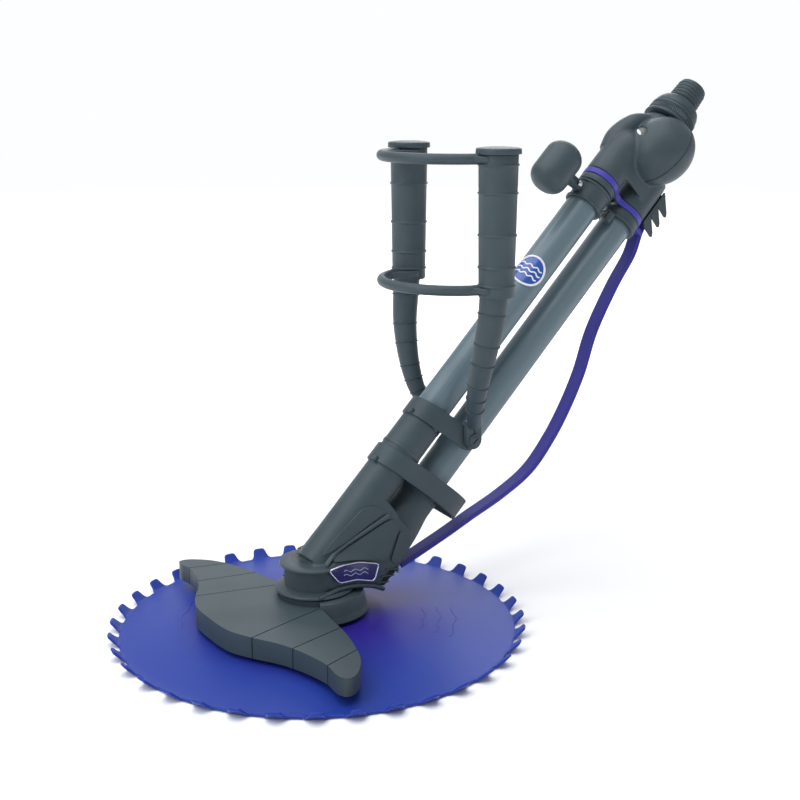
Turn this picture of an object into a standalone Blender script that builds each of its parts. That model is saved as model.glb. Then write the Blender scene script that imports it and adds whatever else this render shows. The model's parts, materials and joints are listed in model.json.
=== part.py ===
"""Suction pool cleaner: a toothed rubber seal, a weighted foot, twin tubes on a lean, a tilting float
handle, a side float, a bumper strap and a swivelling hose nipple.

Metres, +Z up, +X towards the back, where the tubes lean. Every piece is built in one of two frames: the
cleaner's, whose Z axis is the seal's own axis, and the mast's, whose Z axis runs up the tubes and whose X
axis points down and back, so that a place on the tubes is (across, sideways, along).
"""
import math

import bmesh
import bpy
from mathutils import Matrix, Vector

# ---- driving dimensions ------------------------------------------------------------------------------
GAP = 0.0003                      # what touching pieces keep between them

SEAL_R = 0.2226                   # rubber seal at the roots of its teeth
SEAL_TIP_R = 0.2282
SEAL_TEETH = 36
TOOTH_RISE = 0.011
SEAL_BORE_R = 0.0460

LEAN = math.radians(44.86)        # tubes above the floor
TUBE_R = 0.0200                   # 40 mm pipe
TUBE_BORE_R = 0.0175
FRONT_TUBE = -0.0530              # across the mast, from the line through the seal's centre
REAR_TUBE = 0.0038
OUTLET = (FRONT_TUBE + REAR_TUBE) / 2
TUBE_FOOT = 0.150                 # along the mast
TUBE_HEAD = 0.637
SOCKET_R = 0.0233
SOCKET_BORE_R = TUBE_R + GAP

NIPPLE_TIP = 0.800                # along the mast
NIPPLE_R = 0.0175                 # at its tip, for a 38 mm hose

HANDLE_X = 0.1785                 # posts stand upright over the pivot
HANDLE_Y = 0.0827
HANDLE_TOP = 0.5225
SLEEVE_FOOT = 0.3660
PIVOT_ALONG = 0.268
PIVOT_ACROSS = -0.009
PIVOT_Y = 0.0388

FLOAT_ALONG = 0.5832
FLOAT_ACROSS = -0.1168
FLOAT_R = 0.0230
FLOAT_LENGTH = 0.0700

THROAT_R = 0.0240                 # suction passage through the foot
STRAP_WIDTH = 0.0240
STRAP_THICK = 0.0040

UP = (math.cos(LEAN), math.sin(LEAN))          # along the tubes, as (x, z)
OUT = (math.sin(LEAN), -math.cos(LEAN))        # across them, down and back

# The cleaner's own box runs from the seal's front teeth to the nipple's lower lip.
REACH = NIPPLE_TIP * UP[0] + (OUTLET + NIPPLE_R) * OUT[0]
SEAL_X = -(REACH - SEAL_TIP_R) / 2


# ---- collections, frames and materials ---------------------------------------------------------------
def clear_scene():
    for old in list(bpy.data.objects):
        bpy.data.objects.remove(old, do_unlink=True)


def collection(name):
    made = bpy.data.collections.new(name)
    bpy.context.scene.collection.children.link(made)
    return made


def empty(name, location, rotation=(0, 0, 0), parent=None):
    made = bpy.data.objects.new(name, None)
    made.location = location
    made.rotation_euler = rotation
    made.parent = parent
    PARTS.objects.link(made)
    return made


FINISHES = {                      # colour, roughness, metallic
    "slate_plastic": ((0.075, 0.100, 0.110), 0.50, 0.0),
    "tube_plastic": ((0.120, 0.165, 0.190), 0.35, 0.0),
    "blue_rubber": ((0.020, 0.035, 0.300), 0.40, 0.0),
    "blue_strap": ((0.050, 0.045, 0.260), 0.45, 0.0),
    "black_rubber": ((0.015, 0.016, 0.018), 0.70, 0.0),
    "badge_blue": ((0.030, 0.020, 0.160), 0.25, 0.0),
    "steel": ((0.560, 0.570, 0.580), 0.30, 1.0),
}


def material(slot):
    if slot in bpy.data.materials:
        return bpy.data.materials[slot]
    colour, roughness, metallic = FINISHES[slot]
    made = bpy.data.materials.new(slot)
    made.use_nodes = True
    shader = made.node_tree.nodes["Principled BSDF"]
    shader.inputs["Base Color"].default_value = (*colour, 1)
    shader.inputs["Roughness"].default_value = roughness
    shader.inputs["Metallic"].default_value = metallic
    return made


# ---- makers ------------------------------------------------------------------------------------------
def place(name, data, slot, parent, location=(0, 0, 0), rotation=(0, 0, 0)):
    """Link an object; one with no slot is a cutter or a blank that a Boolean uses."""
    made = bpy.data.objects.new(name, data)
    made.parent = parent
    made.location = location
    made.rotation_euler = rotation
    if slot:
        data.materials.append(material(slot))
        PARTS.objects.link(made)
    else:
        made.hide_render = True
        made.display_type = 'WIRE'
        CUTTERS.objects.link(made)
    return made


def turned(name, profile, slot, parent, location=(0, 0, 0), rotation=(0, 0, 0), steps=24):
    """Spin (radius, height) points, listed down the outer side; a ring's list closes on itself."""
    mesh = bpy.data.meshes.new(name)
    corners = [(r, 0, z) for r, z in profile]
    edges = [(i, i + 1) for i in range(len(corners) - 1)]
    if profile[0][0] > 0:
        edges.append((len(corners) - 1, 0))
    mesh.from_pydata(corners, edges, [])
    made = place(name, mesh, slot, parent, location, rotation)
    spin = made.modifiers.new("Turn", 'SCREW')
    spin.axis = 'Z'
    spin.steps = steps
    spin.render_steps = steps
    spin.use_merge_vertices = True
    spin.merge_threshold = 0.00001
    return made


def ring(name, outer, inner, low, high, slot, parent, location=(0, 0, 0), rotation=(0, 0, 0), steps=24):
    profile = [(outer, high), (outer, low), (inner, low), (inner, high)]
    return turned(name, profile, slot, parent, location, rotation, steps)


def rod(name, radius, low, high, slot, parent, location=(0, 0, 0), rotation=(0, 0, 0), steps=20):
    profile = [(0, high), (radius, high), (radius, low), (0, low)]
    return turned(name, profile, slot, parent, location, rotation, steps)


def box(name, size, centre, slot, parent):
    bm = bmesh.new()
    bmesh.ops.create_cube(bm, size=1)
    bmesh.ops.scale(bm, vec=Vector(size), verts=bm.verts)
    mesh = bpy.data.meshes.new(name)
    bm.to_mesh(mesh)
    bm.free()
    return place(name, mesh, slot, parent, centre)


def ball(name, radius, centre, slot, parent, segments=22, rings=11):
    bm = bmesh.new()
    bmesh.ops.create_uvsphere(bm, u_segments=segments, v_segments=rings, radius=radius)
    mesh = bpy.data.meshes.new(name)
    bm.to_mesh(mesh)
    bm.free()
    return place(name, mesh, slot, parent, centre)


def curve_mesh(name, curve, slot, parent, location, rotation):
    """A curve made a mesh with its caps welded, so that Booleans can use it."""
    guide = place(name + "_guide", curve, None, parent, location, rotation)
    bpy.context.view_layer.update()
    mesh = bpy.data.meshes.new_from_object(guide.evaluated_get(bpy.context.evaluated_depsgraph_get()))
    bpy.data.objects.remove(guide, do_unlink=True)
    bm = bmesh.new()
    bm.from_mesh(mesh)
    bmesh.ops.remove_doubles(bm, verts=bm.verts, dist=0.00001)
    bm.to_mesh(mesh)
    bm.free()
    mesh.name = name
    mesh.materials.clear()
    return place(name, mesh, slot, parent, location, rotation)


def add_spline(curve, points, radii=None, cyclic=False):
    spline = curve.splines.new('POLY')
    spline.points.add(len(points) - 1)
    for i, point in enumerate(points):
        spline.points[i].co = (*point, 1)
        spline.points[i].radius = radii[i] if radii else 1
    spline.use_cyclic_u = cyclic


def pipe(name, points, radii, slot, parent, sides=3):
    """A bent rod whose radius may change along it."""
    curve = bpy.data.curves.new(name, 'CURVE')
    curve.dimensions = '3D'
    curve.bevel_depth = 1.0
    curve.bevel_resolution = sides
    curve.use_fill_caps = True
    add_spline(curve, points, radii)
    return curve_mesh(name, curve, slot, parent, (0, 0, 0), (0, 0, 0))


def plate(name, outlines, thick, slot, parent, location=(0, 0, 0), upright=True):
    """Extrude flat outlines; an upright plate's outline is (x, z) and its thickness lies along Y."""
    curve = bpy.data.curves.new(name, 'CURVE')
    curve.dimensions = '2D'
    curve.fill_mode = 'BOTH'
    curve.extrude = thick / 2
    for outline in outlines:
        add_spline(curve, [(a, b, 0) for a, b in outline], cyclic=True)
    rotation = (math.radians(90), 0, 0) if upright else (0, 0, 0)
    return curve_mesh(name, curve, slot, parent, location, rotation)


def combine(target, other, operation='UNION'):
    cut = target.modifiers.new(other.name, 'BOOLEAN')
    cut.operation = operation
    cut.object = other
    cut.solver = 'EXACT'
    return target


def smooth(line, passes=2):
    """Round a hand-placed route off by cutting its corners."""
    for _ in range(passes):
        finer = [line[0]]
        for a, b in zip(line, line[1:]):
            a, b = Vector(a), Vector(b)
            finer += [tuple(a.lerp(b, 0.25)), tuple(a.lerp(b, 0.75))]
        line = finer + [line[-1]]
    return line


def ribbon(line, half):
    """The closed outline of a band that follows a flat line, half its thickness to each side."""
    left, right = [], []
    for i, point in enumerate(line):
        before = Vector(line[max(i - 1, 0)])
        after = Vector(line[min(i + 1, len(line) - 1)])
        along = (after - before).normalized()
        side = Vector((-along.y, along.x)) * half
        left.append(tuple(Vector(point) + side))
        right.append(tuple(Vector(point) - side))
    return left + right[::-1]


def arc(centre, radius, start, stop, count):
    """Points on an arc, in degrees."""
    angles = [math.radians(start + (stop - start) * i / (count - 1)) for i in range(count)]
    return [(centre[0] + radius * math.cos(a), centre[1] + radius * math.sin(a)) for a in angles]


def mast_to_cleaner(along, across, side=0.0):
    return (along * UP[0] + across * OUT[0], side, along * UP[1] + across * OUT[1])


# ---- the seal, which turns about the foot ------------------------------------------------------------
def seal_disc():
    """A shallow rubber cone, low at its rim, with one turned-up tooth to every ten degrees."""
    bm = bmesh.new()
    profile = [(SEAL_BORE_R, 0.0190), (0.070, 0.0180), (0.150, 0.0095), (0.205, 0.0032), (SEAL_R, 0.0030),
               (SEAL_R, 0.0), (0.205, 0.0), (0.150, 0.0065), (0.070, 0.0150), (SEAL_BORE_R, 0.0160)]
    corners = [bm.verts.new((r, 0, z)) for r, z in profile]
    edges = [bm.edges.new((corners[i - 1], corners[i])) for i in range(len(corners))]
    steps = SEAL_TEETH * 2
    half = math.pi / steps
    bmesh.ops.rotate(bm, verts=corners, matrix=Matrix.Rotation(-half, 3, 'Z'))
    bmesh.ops.spin(bm, geom=corners + edges, axis=(0, 0, 1), cent=(0, 0, 0), angle=2 * math.pi,
                   steps=steps, use_merge=True)
    bmesh.ops.remove_doubles(bm, verts=bm.verts, dist=0.00001)
    bmesh.ops.recalc_face_normals(bm, faces=bm.faces)
    for tooth in range(SEAL_TEETH):
        grow_tooth(bm, 2 * math.pi * tooth / SEAL_TEETH)
    mesh = bpy.data.meshes.new("seal_disc")
    bm.to_mesh(mesh)
    bm.free()
    place("seal_disc", mesh, "blue_rubber", CLEANER)


def grow_tooth(bm, angle):
    """Pull the rim's face at this angle up and out, and narrow its tip."""
    middle = Vector((math.cos(angle), math.sin(angle), 0)) * SEAL_R
    rim = min(bm.faces, key=lambda f: (f.calc_center_median() - middle - Vector((0, 0, 0.0015))).length)
    grown = bmesh.ops.extrude_face_region(bm, geom=[rim])
    tips = [v for v in grown["geom"] if isinstance(v, bmesh.types.BMVert)]
    bmesh.ops.delete(bm, geom=[rim], context='FACES_ONLY')
    side = Vector((-math.sin(angle), math.cos(angle), 0))
    outward = middle.normalized()
    for v in tips:
        sideways = (v.co - middle).dot(side)
        high = v.co.z > 0.0015
        v.co = middle + side * sideways * 0.70
        v.co += outward * (SEAL_TIP_R - SEAL_R - (0.0022 if high else 0.0))
        v.co.z = TOOTH_RISE + (0.0012 if high else 0.0)


def seal_hub():
    """The hard ring moulded round the seal's bore, which runs on the foot."""
    ring("disc_hub", SEAL_BORE_R - GAP, 0.0405, 0.0120, 0.0225, "slate_plastic", CLEANER)


# ---- the foot ----------------------------------------------------------------------------------------
def foot():
    profile = [(0.0400, 0.0465), (0.0400, 0.0400), (0.0520, 0.0380), (0.0545, 0.0240), (0.0400, 0.0232),
               (0.0400, 0.0065), (THROAT_R, 0.0065), (THROAT_R, 0.0465)]
    turned("foot_base", profile, "slate_plastic", CLEANER)
    ring("foot_sole", 0.0520, THROAT_R, 0.0, 0.0060, "black_rubber", CLEANER)
    ring("disc_retainer", 0.0440, 0.0403, 0.0066, 0.0112, "slate_plastic", CLEANER)
    ring("throat_gasket", 0.0330, THROAT_R, 0.0469, 0.0480, "black_rubber", CLEANER)


# ---- the front wing ----------------------------------------------------------------------------------
WING_HALF = [(-0.1330, 0.0), (-0.1325, 0.0200), (-0.1290, 0.0420), (-0.1175, 0.0650), (-0.1020, 0.0900),
             (-0.0940, 0.1085), (-0.0880, 0.1350), (-0.0865, 0.1570), (-0.0900, 0.1780), (-0.0850, 0.1900),
             (-0.0740, 0.1860), (-0.0560, 0.1660), (-0.0430, 0.1350), (-0.0300, 0.0980), (-0.0220, 0.0560)]
WING_SEAT_R = 0.0560              # the round edge that fits the foot
WING_FLOOR = 0.0190
WING_TOP = 0.0410


def front_wing():
    half = WING_HALF + arc((0, 0), WING_SEAT_R, 115, 180, 7)[:-1]
    outline = half + [(-WING_SEAT_R, 0.0)] + [(x, -y) for x, y in half[:0:-1]]
    middle = (WING_FLOOR + WING_TOP) / 2
    wing = plate("front_wing", [outline], WING_TOP - WING_FLOOR, "slate_plastic", CLEANER, (0, 0, middle),
                 upright=False)
    pocket = box("ballast_pocket", (0.034, 0.120, 0.024), (-0.091, 0, 0.0230), None, CLEANER)
    combine(wing, pocket, 'DIFFERENCE')
    box("wing_ballast", (0.0334, 0.1194, 0.0130), (-0.091, 0, 0.0282), "steel", CLEANER)
    lid = box("ballast_lid", (0.0334, 0.1194, 0.0020), (-0.091, 0, 0.0201), "slate_plastic", CLEANER)
    for side, name in ((-1, "near"), (1, "far")):
        shaft = rod("screw_way_" + name, 0.0023, 0.0, 0.0216, None, CLEANER, (-0.091, side * 0.045, 0.010))
        combine(lid, shaft, 'DIFFERENCE')
        screw = [(0, 0.0210), (0.0020, 0.0210), (0.0020, 0.0189), (0.0040, 0.0189), (0.0040, 0.0172),
                 (0, 0.0172)]
        turned("ballast_screw_" + name, screw, "steel", CLEANER, (-0.091, side * 0.045, 0), steps=16)


# ---- the housing, its covers and its valve -----------------------------------------------------------
CORE = [(-0.0200, 0.0525), (0.0040, 0.0545), (0.0300, 0.0535), (0.0500, 0.0490), (0.0670, 0.0405),
        (0.0899, 0.0344), (0.1126, 0.0655), (0.1221, 0.0829), (0.0488, 0.1565), (-0.0143, 0.0937),
        (-0.0220, 0.0800)]
CORE_HALF = 0.0368
CHAMBER = (0.0925, -0.0290)       # along and across the mast
AXLE = (0.1120, -0.0250)


def housing():
    body = plate("main_housing", [CORE], 2 * CORE_HALF, "slate_plastic", CLEANER)
    neck = turned("housing_neck", [(0, 0.0920), (0.0330, 0.0900), (0.0330, 0.0800), (0.0366, 0.0795),
                                   (0.0366, 0.0760), (0.0330, 0.0750), (0.0330, 0.0520), (0.0430, 0.0515),
                                   (0.0430, 0.0484), (0, 0.0484)], None, CLEANER, (-0.004, 0, 0))
    combine(body, neck)
    for across, low, top, name in ((FRONT_TUBE, 0.060, 0.2460, "front"), (REAR_TUBE, 0.105, 0.1900, "rear")):
        combine(body, rod("socket_" + name, SOCKET_R, low, top, None, MAST, (across, 0, 0), steps=32))
    for across, name in ((FRONT_TUBE, "front"), (REAR_TUBE, "rear")):
        bore = [(0, 0.26), (SOCKET_BORE_R, 0.26), (SOCKET_BORE_R, TUBE_FOOT - GAP),
                (TUBE_BORE_R, TUBE_FOOT - GAP), (TUBE_BORE_R, 0.090), (0, 0.090)]
        combine(body, turned("bore_" + name, bore, None, MAST, (across, 0, 0)), 'DIFFERENCE')
    chamber = rod("valve_chamber", 0.0270, -0.0250, 0.0250, None, MAST, (CHAMBER[1], 0, CHAMBER[0]),
                  (math.radians(90), 0, 0), steps=32)
    combine(body, chamber, 'DIFFERENCE')
    passage = [(0, 0, 0.0400), (0, 0, 0.0580), (0.0080, 0, 0.0680), (0.0300, 0, 0.0820)]
    combine(body, pipe("throat", passage, [THROAT_R - 0.002] * 4, None, CLEANER, 4), 'DIFFERENCE')
    combine(body, rod("axle_way", 0.0023, -0.0285, 0.0285, None, MAST, (AXLE[1], 0, AXLE[0]),
                      (math.radians(90), 0, 0)), 'DIFFERENCE')
    anchor = box("strap_anchor", (0.012, 0.030, 0.010), (0.0985, 0, 0.0480), None, CLEANER)
    combine(body, anchor, 'DIFFERENCE')


COVER = [(-0.0020, 0.0885), (0.0300, 0.0855), (0.0600, 0.0780), (0.0820, 0.0620), (0.0980, 0.0650),
         (0.1060, 0.0790), (0.0920, 0.1000), (0.0520, 0.1380), (0.0380, 0.1320)]
BADGE = [(-0.0060, 0.0790), (0.0110, 0.0805), (0.0300, 0.0800), (0.0560, 0.0730), (0.0500, 0.0560),
         (0.0280, 0.0625), (0.0060, 0.0630)]
GRILLE = [(0.0640, 0.0480), (0.0790, 0.0400), (0.0900, 0.0530), (0.0770, 0.0600)]


def side_trim():
    """The covers, badges and vents on both sides of the housing."""
    for side, name in ((-1, "near"), (1, "far")):
        middle = side * (CORE_HALF + GAP + 0.0012)
        plate(name + "_side_cover", [COVER], 0.0024, "slate_plastic", CLEANER, (0, middle, 0))
        plate(name + "_badge", [BADGE], 0.0024, "badge_blue", CLEANER, (0, middle, 0))
        grille = plate(name + "_vent_grille", [GRILLE], 0.0024, "slate_plastic", CLEANER, (0, middle, 0))
        for slot in range(3):
            along = (slot + 1) / 4
            x = 0.0640 + 0.0130 * along + 0.0065
            z = 0.0480 + 0.0120 * along - 0.0035
            way = box("vent_slot", (0.0090, 0.01, 0.0012), (x, middle, z), None, CLEANER)
            combine(grille, way, 'DIFFERENCE')


def valve():
    """A drop-shaped flapper that knocks from side to side in the chamber."""
    tip = CHAMBER[0] - 0.0170
    low, high = CHAMBER[1] + 0.0020, AXLE[1]
    outline = [(high - 0.0045, AXLE[0]), (low - 0.0060, tip + 0.004), (low, tip),
               (low + 0.0060, tip + 0.004), (high + 0.0045, AXLE[0]), (high, AXLE[0] + 0.0045)]
    flapper = plate("flapper", [[(a - AXLE[1], s - AXLE[0]) for a, s in outline]], 0.0440, "black_rubber",
                    MAST, (AXLE[1], 0, AXLE[0]))
    combine(flapper, rod("flapper_bore", 0.0023, -0.03, 0.03, None, MAST, (AXLE[1], 0, AXLE[0]),
                         (math.radians(90), 0, 0)), 'DIFFERENCE')
    rod("flapper_axle", 0.0020, -0.0282, 0.0282, "steel", MAST, (AXLE[1], 0, AXLE[0]),
        (math.radians(90), 0, 0))


# ---- tubes, bands and couplings ----------------------------------------------------------------------
def tubes():
    ring("front_tube", TUBE_R, TUBE_BORE_R, TUBE_FOOT, TUBE_HEAD, "tube_plastic", MAST, (FRONT_TUBE, 0, 0))
    ring("rear_tube", TUBE_R, TUBE_BORE_R, TUBE_FOOT, TUBE_HEAD, "tube_plastic", MAST, (REAR_TUBE, 0, 0))
    ring("front_coupling", 0.0236, SOCKET_BORE_R, 0.6045, 0.6125, "slate_plastic", MAST, (FRONT_TUBE, 0, 0))
    ring("rear_coupling", 0.0245, SOCKET_BORE_R, 0.5985, 0.6125, "slate_plastic", MAST, (REAR_TUBE, 0, 0))
    rod("band_latch", 0.0055, 0.5840, 0.5975, "slate_plastic", MAST, (REAR_TUBE - 0.0255, -0.0125, 0),
        steps=20)
    band = ring("lock_band", 0.0250, SOCKET_BORE_R, 0.6130, 0.6205, "blue_strap", MAST, (FRONT_TUBE, 0, 0))
    combine(band, ring("band_rear", 0.0250, SOCKET_BORE_R, 0.6130, 0.6205, None, MAST, (REAR_TUBE, 0, 0)))
    combine(band, box("band_bridge", (0.0120, 0.0160, 0.0075), (OUTLET, 0, 0.61675), None, MAST))


def tube_badge():
    """A thin round badge wrapped on the front tube, on the near side of its front."""
    badge = ring("tube_badge", TUBE_R + 0.0012, TUBE_R + GAP, 0.4380, 0.4730, "badge_blue", MAST,
                 (FRONT_TUBE, 0, 0), steps=36)
    keep = rod("badge_outline", 0.0170, 0.0, 0.05, None, MAST, (FRONT_TUBE, 0, 0.4555),
               (math.radians(90), 0, math.radians(-60)), steps=24)
    combine(badge, keep, 'INTERSECT')


def lower_hoop():
    """A bumper band round the front socket that stands well off behind the rear tube."""
    thick = 0.0026
    inner = 0.0248

    def outline(grow):
        front = arc((0, 0), inner + grow, 100, 260, 13)
        side = [(0.050, -0.0310 - grow), (0.080, -0.0290 - grow), (0.104, -0.0190 - grow)]
        tip = [(0.1190 + grow, 0.0)]
        return front + side + tip + [(x, -y) for x, y in side[::-1]]

    curve_frame = empty("hoop_frame", (FRONT_TUBE, 0, 0.1920), (0, math.radians(-5.0), 0), MAST)
    plate("lower_hoop", [outline(thick), outline(0.0)], 0.0220, "slate_plastic", curve_frame, upright=False)


def handle_yoke():
    """The strap round the front tube that ends in the handle's two pivots."""
    inner = 0.0238
    line = [(0.0060, -0.0335), (-0.0200, -0.0325)]
    line += [(FRONT_TUBE + x, y) for x, y in arc((0, 0), inner + 0.0015, 265, 95, 13)]
    line += [(-0.0200, 0.0325), (0.0060, 0.0335)]
    yoke = plate("handle_yoke", [ribbon(line, 0.0015)], 0.0240, "slate_plastic", MAST, (0, 0, 0.2620),
                 upright=False)
    way = rod("pivot_way", 0.0035, -0.050, 0.050, None, MAST, (PIVOT_ACROSS, 0, PIVOT_ALONG),
              (math.radians(90), 0, 0))
    combine(yoke, way, 'DIFFERENCE')


# ---- the head that joins the tubes to the hose -------------------------------------------------------
BULB = (-0.0080, -0.0060, 0.6965)
BULB_R = 0.0385
COVER_PLANE = 0.0140
TURNED = (0, 0, math.radians(4.0))    # keeps the facets of pieces on one axis from lining up


def head():
    body = rod("head_manifold", 0.0236, 0.6213, 0.6600, "slate_plastic", MAST, (FRONT_TUBE, 0, 0), steps=32)
    combine(body, rod("rear_stub", 0.0235, 0.6213, 0.6745, None, MAST, (REAR_TUBE, 0, 0), steps=32))
    bend = [(FRONT_TUBE, 0, 0.650), (FRONT_TUBE + 0.003, -0.001, 0.665), (-0.034, -0.004, 0.680),
            (-0.012, -0.006, 0.694)]
    combine(body, pipe("front_bend", bend, [0.0233, 0.0230, 0.0225, 0.0225], None, MAST, 4))
    bulb = ball("bulb", BULB_R, BULB, None, MAST)
    combine(body, bulb)
    loop = [(-0.016, 0.002, 0.722), (-0.034, 0.005, 0.722), (-0.054, 0.007, 0.718), (-0.066, 0.007, 0.706),
            (-0.071, 0.006, 0.690), (-0.068, 0.004, 0.674), (-0.060, 0.002, 0.660)]
    combine(body, pipe("loop", loop, [0.0160] * len(loop), None, MAST, 3))
    combine(body, rod("outlet_neck", 0.0247, 0.6930, 0.7345, None, MAST, (OUTLET, 0, 0), TURNED, 28))
    combine(body, rod("spigot", 0.0185, 0.730, 0.7480, None, MAST, (OUTLET, 0, 0), TURNED))
    combine(body, box("web", (0.0300, 0.0040, 0.0300), (OUTLET, 0, 0.6600), None, MAST))
    cover_cut = box("cover_cut", (0.060, 0.100, 0.100), (COVER_PLANE + 0.030, 0, 0.7250), None, MAST)
    combine(body, cover_cut, 'DIFFERENCE')
    for across, name in ((FRONT_TUBE, "front"), (REAR_TUBE, "rear")):
        combine(body, rod("cup_" + name, SOCKET_BORE_R, 0.600, TUBE_HEAD + GAP, None, MAST, (across, 0, 0),
                          TURNED), 'DIFFERENCE')
    flow = [(FRONT_TUBE, 0, 0.630), (FRONT_TUBE, 0, 0.655), (-0.034, -0.004, 0.678), (-0.010, -0.006, 0.700)]
    combine(body, pipe("front_flow", flow, [0.0150] * 4, None, MAST, 3), 'DIFFERENCE')
    combine(body, rod("rear_flow", 0.0160, 0.630, 0.6985, None, MAST, (REAR_TUBE, 0, 0), TURNED),
            'DIFFERENCE')
    combine(body, ball("bulb_hollow", 0.0300, BULB, None, MAST, 16, 8), 'DIFFERENCE')
    combine(body, rod("outlet_flow", 0.0150, 0.7030, 0.760, None, MAST, (OUTLET, 0, 0), (0, 0, 0), 22),
            'DIFFERENCE')

    cover = ball("head_rear_cover", BULB_R, BULB, "slate_plastic", MAST)
    combine(cover, ball("cover_hollow", 0.0345, BULB, None, MAST), 'DIFFERENCE')
    keep = box("cover_keep", (0.060, 0.100, 0.100), (COVER_PLANE + 0.030 + GAP, 0, 0.7256), None, MAST)
    combine(cover, keep, 'INTERSECT')


def outlet():
    """The swivel collar and the hose nipple, which turn together on the head's spigot."""
    nipple = [(NIPPLE_R, NIPPLE_TIP)]
    for rib in range(4):
        top = NIPPLE_TIP - 0.0030 - rib * 0.0064
        radius = NIPPLE_R + 0.0012 + rib * 0.0001
        nipple += [(radius, top), (radius, top - 0.0022), (radius - 0.0012, top - 0.0026)]
    nipple += [(0.0195, 0.7720), (0.0225, 0.7700), (0.0262, 0.7640), (0.0270, 0.7575), (0.0148, 0.7575),
               (0.0140, NIPPLE_TIP)]
    turned("hose_nipple", nipple, "slate_plastic", MAST, (OUTLET, 0, 0))
    collar = [(0.0290, 0.7572 - GAP), (0.0290, 0.7360), (0.0203, 0.7360), (0.0203, 0.7500),
              (0.0150, 0.7500), (0.0150, 0.7572 - GAP)]
    turned("swivel_collar", collar, "slate_plastic", MAST, (OUTLET, 0, 0))
    ring("swivel_o_ring", 0.0200, 0.0188, 0.7400, 0.7430, "black_rubber", MAST, (OUTLET, 0, 0))


# ---- the side float ----------------------------------------------------------------------------------
def side_float():
    collar = ring("float_collar", 0.0230, SOCKET_BORE_R, 0.5775, 0.6035, "slate_plastic", MAST,
                  (FRONT_TUBE, 0, 0))
    combine(collar, box("float_arm", (0.0190, 0.0120, 0.0160), (FRONT_TUBE - 0.0306, 0, 0.5900), None, MAST))
    half = FLOAT_LENGTH / 2
    crown = half - FLOAT_R * 0.8
    dome = [(FLOAT_R * math.cos(a), crown + FLOAT_R * 0.8 * math.sin(a))
            for a in [math.radians(d) for d in (72, 54, 36, 18, 0)]]
    profile = [(0, half)] + dome + [(FLOAT_R, -half + 0.004), (FLOAT_R - 0.004, -half), (0, -half)]
    turned("float_capsule", profile, "slate_plastic", MAST, (FLOAT_ACROSS, 0, FLOAT_ALONG))
    rod("float_screw", 0.0032, -0.0095, -0.0063, "steel", MAST, (FRONT_TUBE - 0.030, 0, 0.5900),
        (math.radians(-90), 0, 0), steps=16)


# ---- the strap ---------------------------------------------------------------------------------------
STRAP_HEAD = [mast_to_cleaner(0.668, 0.0322), mast_to_cleaner(0.640, 0.0325), mast_to_cleaner(0.618, 0.0370)]
STRAP_ROUTE = [(0.4520, 0.3810), (0.4259, 0.3452), (0.3950, 0.2930), (0.3763, 0.2428), (0.3540, 0.2003),
               (0.3290, 0.1640), (0.2975, 0.1310), (0.2550, 0.1075), (0.2085, 0.0890), (0.1720, 0.0740),
               (0.1350, 0.0600), (0.1060, 0.0495)]


def strap():
    line = smooth([(x, z) for x, _, z in STRAP_HEAD] + STRAP_ROUTE, 1)
    plate("bumper_strap", [ribbon(line, STRAP_THICK / 2)], STRAP_WIDTH, "blue_strap", CLEANER)
    rod("strap_pin", 0.0022, -0.0145, 0.0145, "steel", CLEANER, (0.0995, 0, 0.0472),
        (math.radians(90), 0, 0), steps=16)
    base = box("strap_cleat", (0.0020, 0.0400, 0.0440), (0.0287, 0, 0.6500), "slate_plastic", MAST)
    combine(base, box("cleat_clearance", (0.010, 0.0250, 0.060), (0.0330, 0, 0.6500), None, MAST),
            'DIFFERENCE')
    for side in (-1, 1):
        for tooth in range(3):
            foot_of = 0.6310 + tooth * 0.0150
            fin = plate("fin", [[(0.0282, foot_of), (0.0282, foot_of + 0.011), (0.0300, foot_of + 0.011),
                                 (0.0480, foot_of + 0.002), (0.0470, foot_of)]], 0.0030, None, MAST,
                        (0, side * 0.0160, 0))
            combine(base, fin)


# ---- the handle --------------------------------------------------------------------------------------
def handle():
    for side, name in ((-1, "near"), (1, "far")):
        leg(side, name)
        sleeve(side, name)
    for height, name in ((0.5050, "upper_bow"), (0.3740, "lower_bow")):
        bow(name, height)


def leg(side, name):
    """A tapered leg that splays from the pivot lug up to the float sleeve."""
    across = Vector(mast_to_cleaner(PIVOT_ALONG, PIVOT_ACROSS))
    lug = arc((0, 0), 0.0105, 180, 360, 13) + [(0.0085, 0.0240), (-0.0105, 0.0240)]
    made = plate(name + "_leg", [lug], 0.0060, "slate_plastic", CLEANER,
                 (across.x, side * PIVOT_Y, across.z))
    path = [(0.1818, 0.0440, 0.2150), (0.1790, 0.0480, 0.2280), (0.1760, 0.0545, 0.2480),
            (0.1740, 0.0630, 0.2710), (0.1730, 0.0730, 0.3000), (0.1735, 0.0795, 0.3250),
            (0.1760, HANDLE_Y, 0.3500), (0.1760, HANDLE_Y, SLEEVE_FOOT - GAP)]
    radii = [0.0080, 0.0090, 0.0105, 0.0120, 0.0137, 0.0148, 0.0157, 0.0160]
    combine(made, pipe(name + "_leg_tube", [(x, side * y, z) for x, y, z in path], radii, None, CLEANER, 4))
    combine(made, rod("lug_way", 0.0035, -0.01, 0.01, None, CLEANER, (across.x, side * PIVOT_Y, across.z),
                      (math.radians(90), 0, 0)), 'DIFFERENCE')
    screw = [(0, 0.0055), (0.0055, 0.0055), (0.0055, 0.0033), (0.0032, 0.0033), (0.0032, -0.0075),
             (0, -0.0075)]
    turned("pivot_screw_" + name, screw, "steel", CLEANER, (across.x, side * PIVOT_Y, across.z),
           (math.radians(-90 * side), 0, 0), steps=24)


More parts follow.
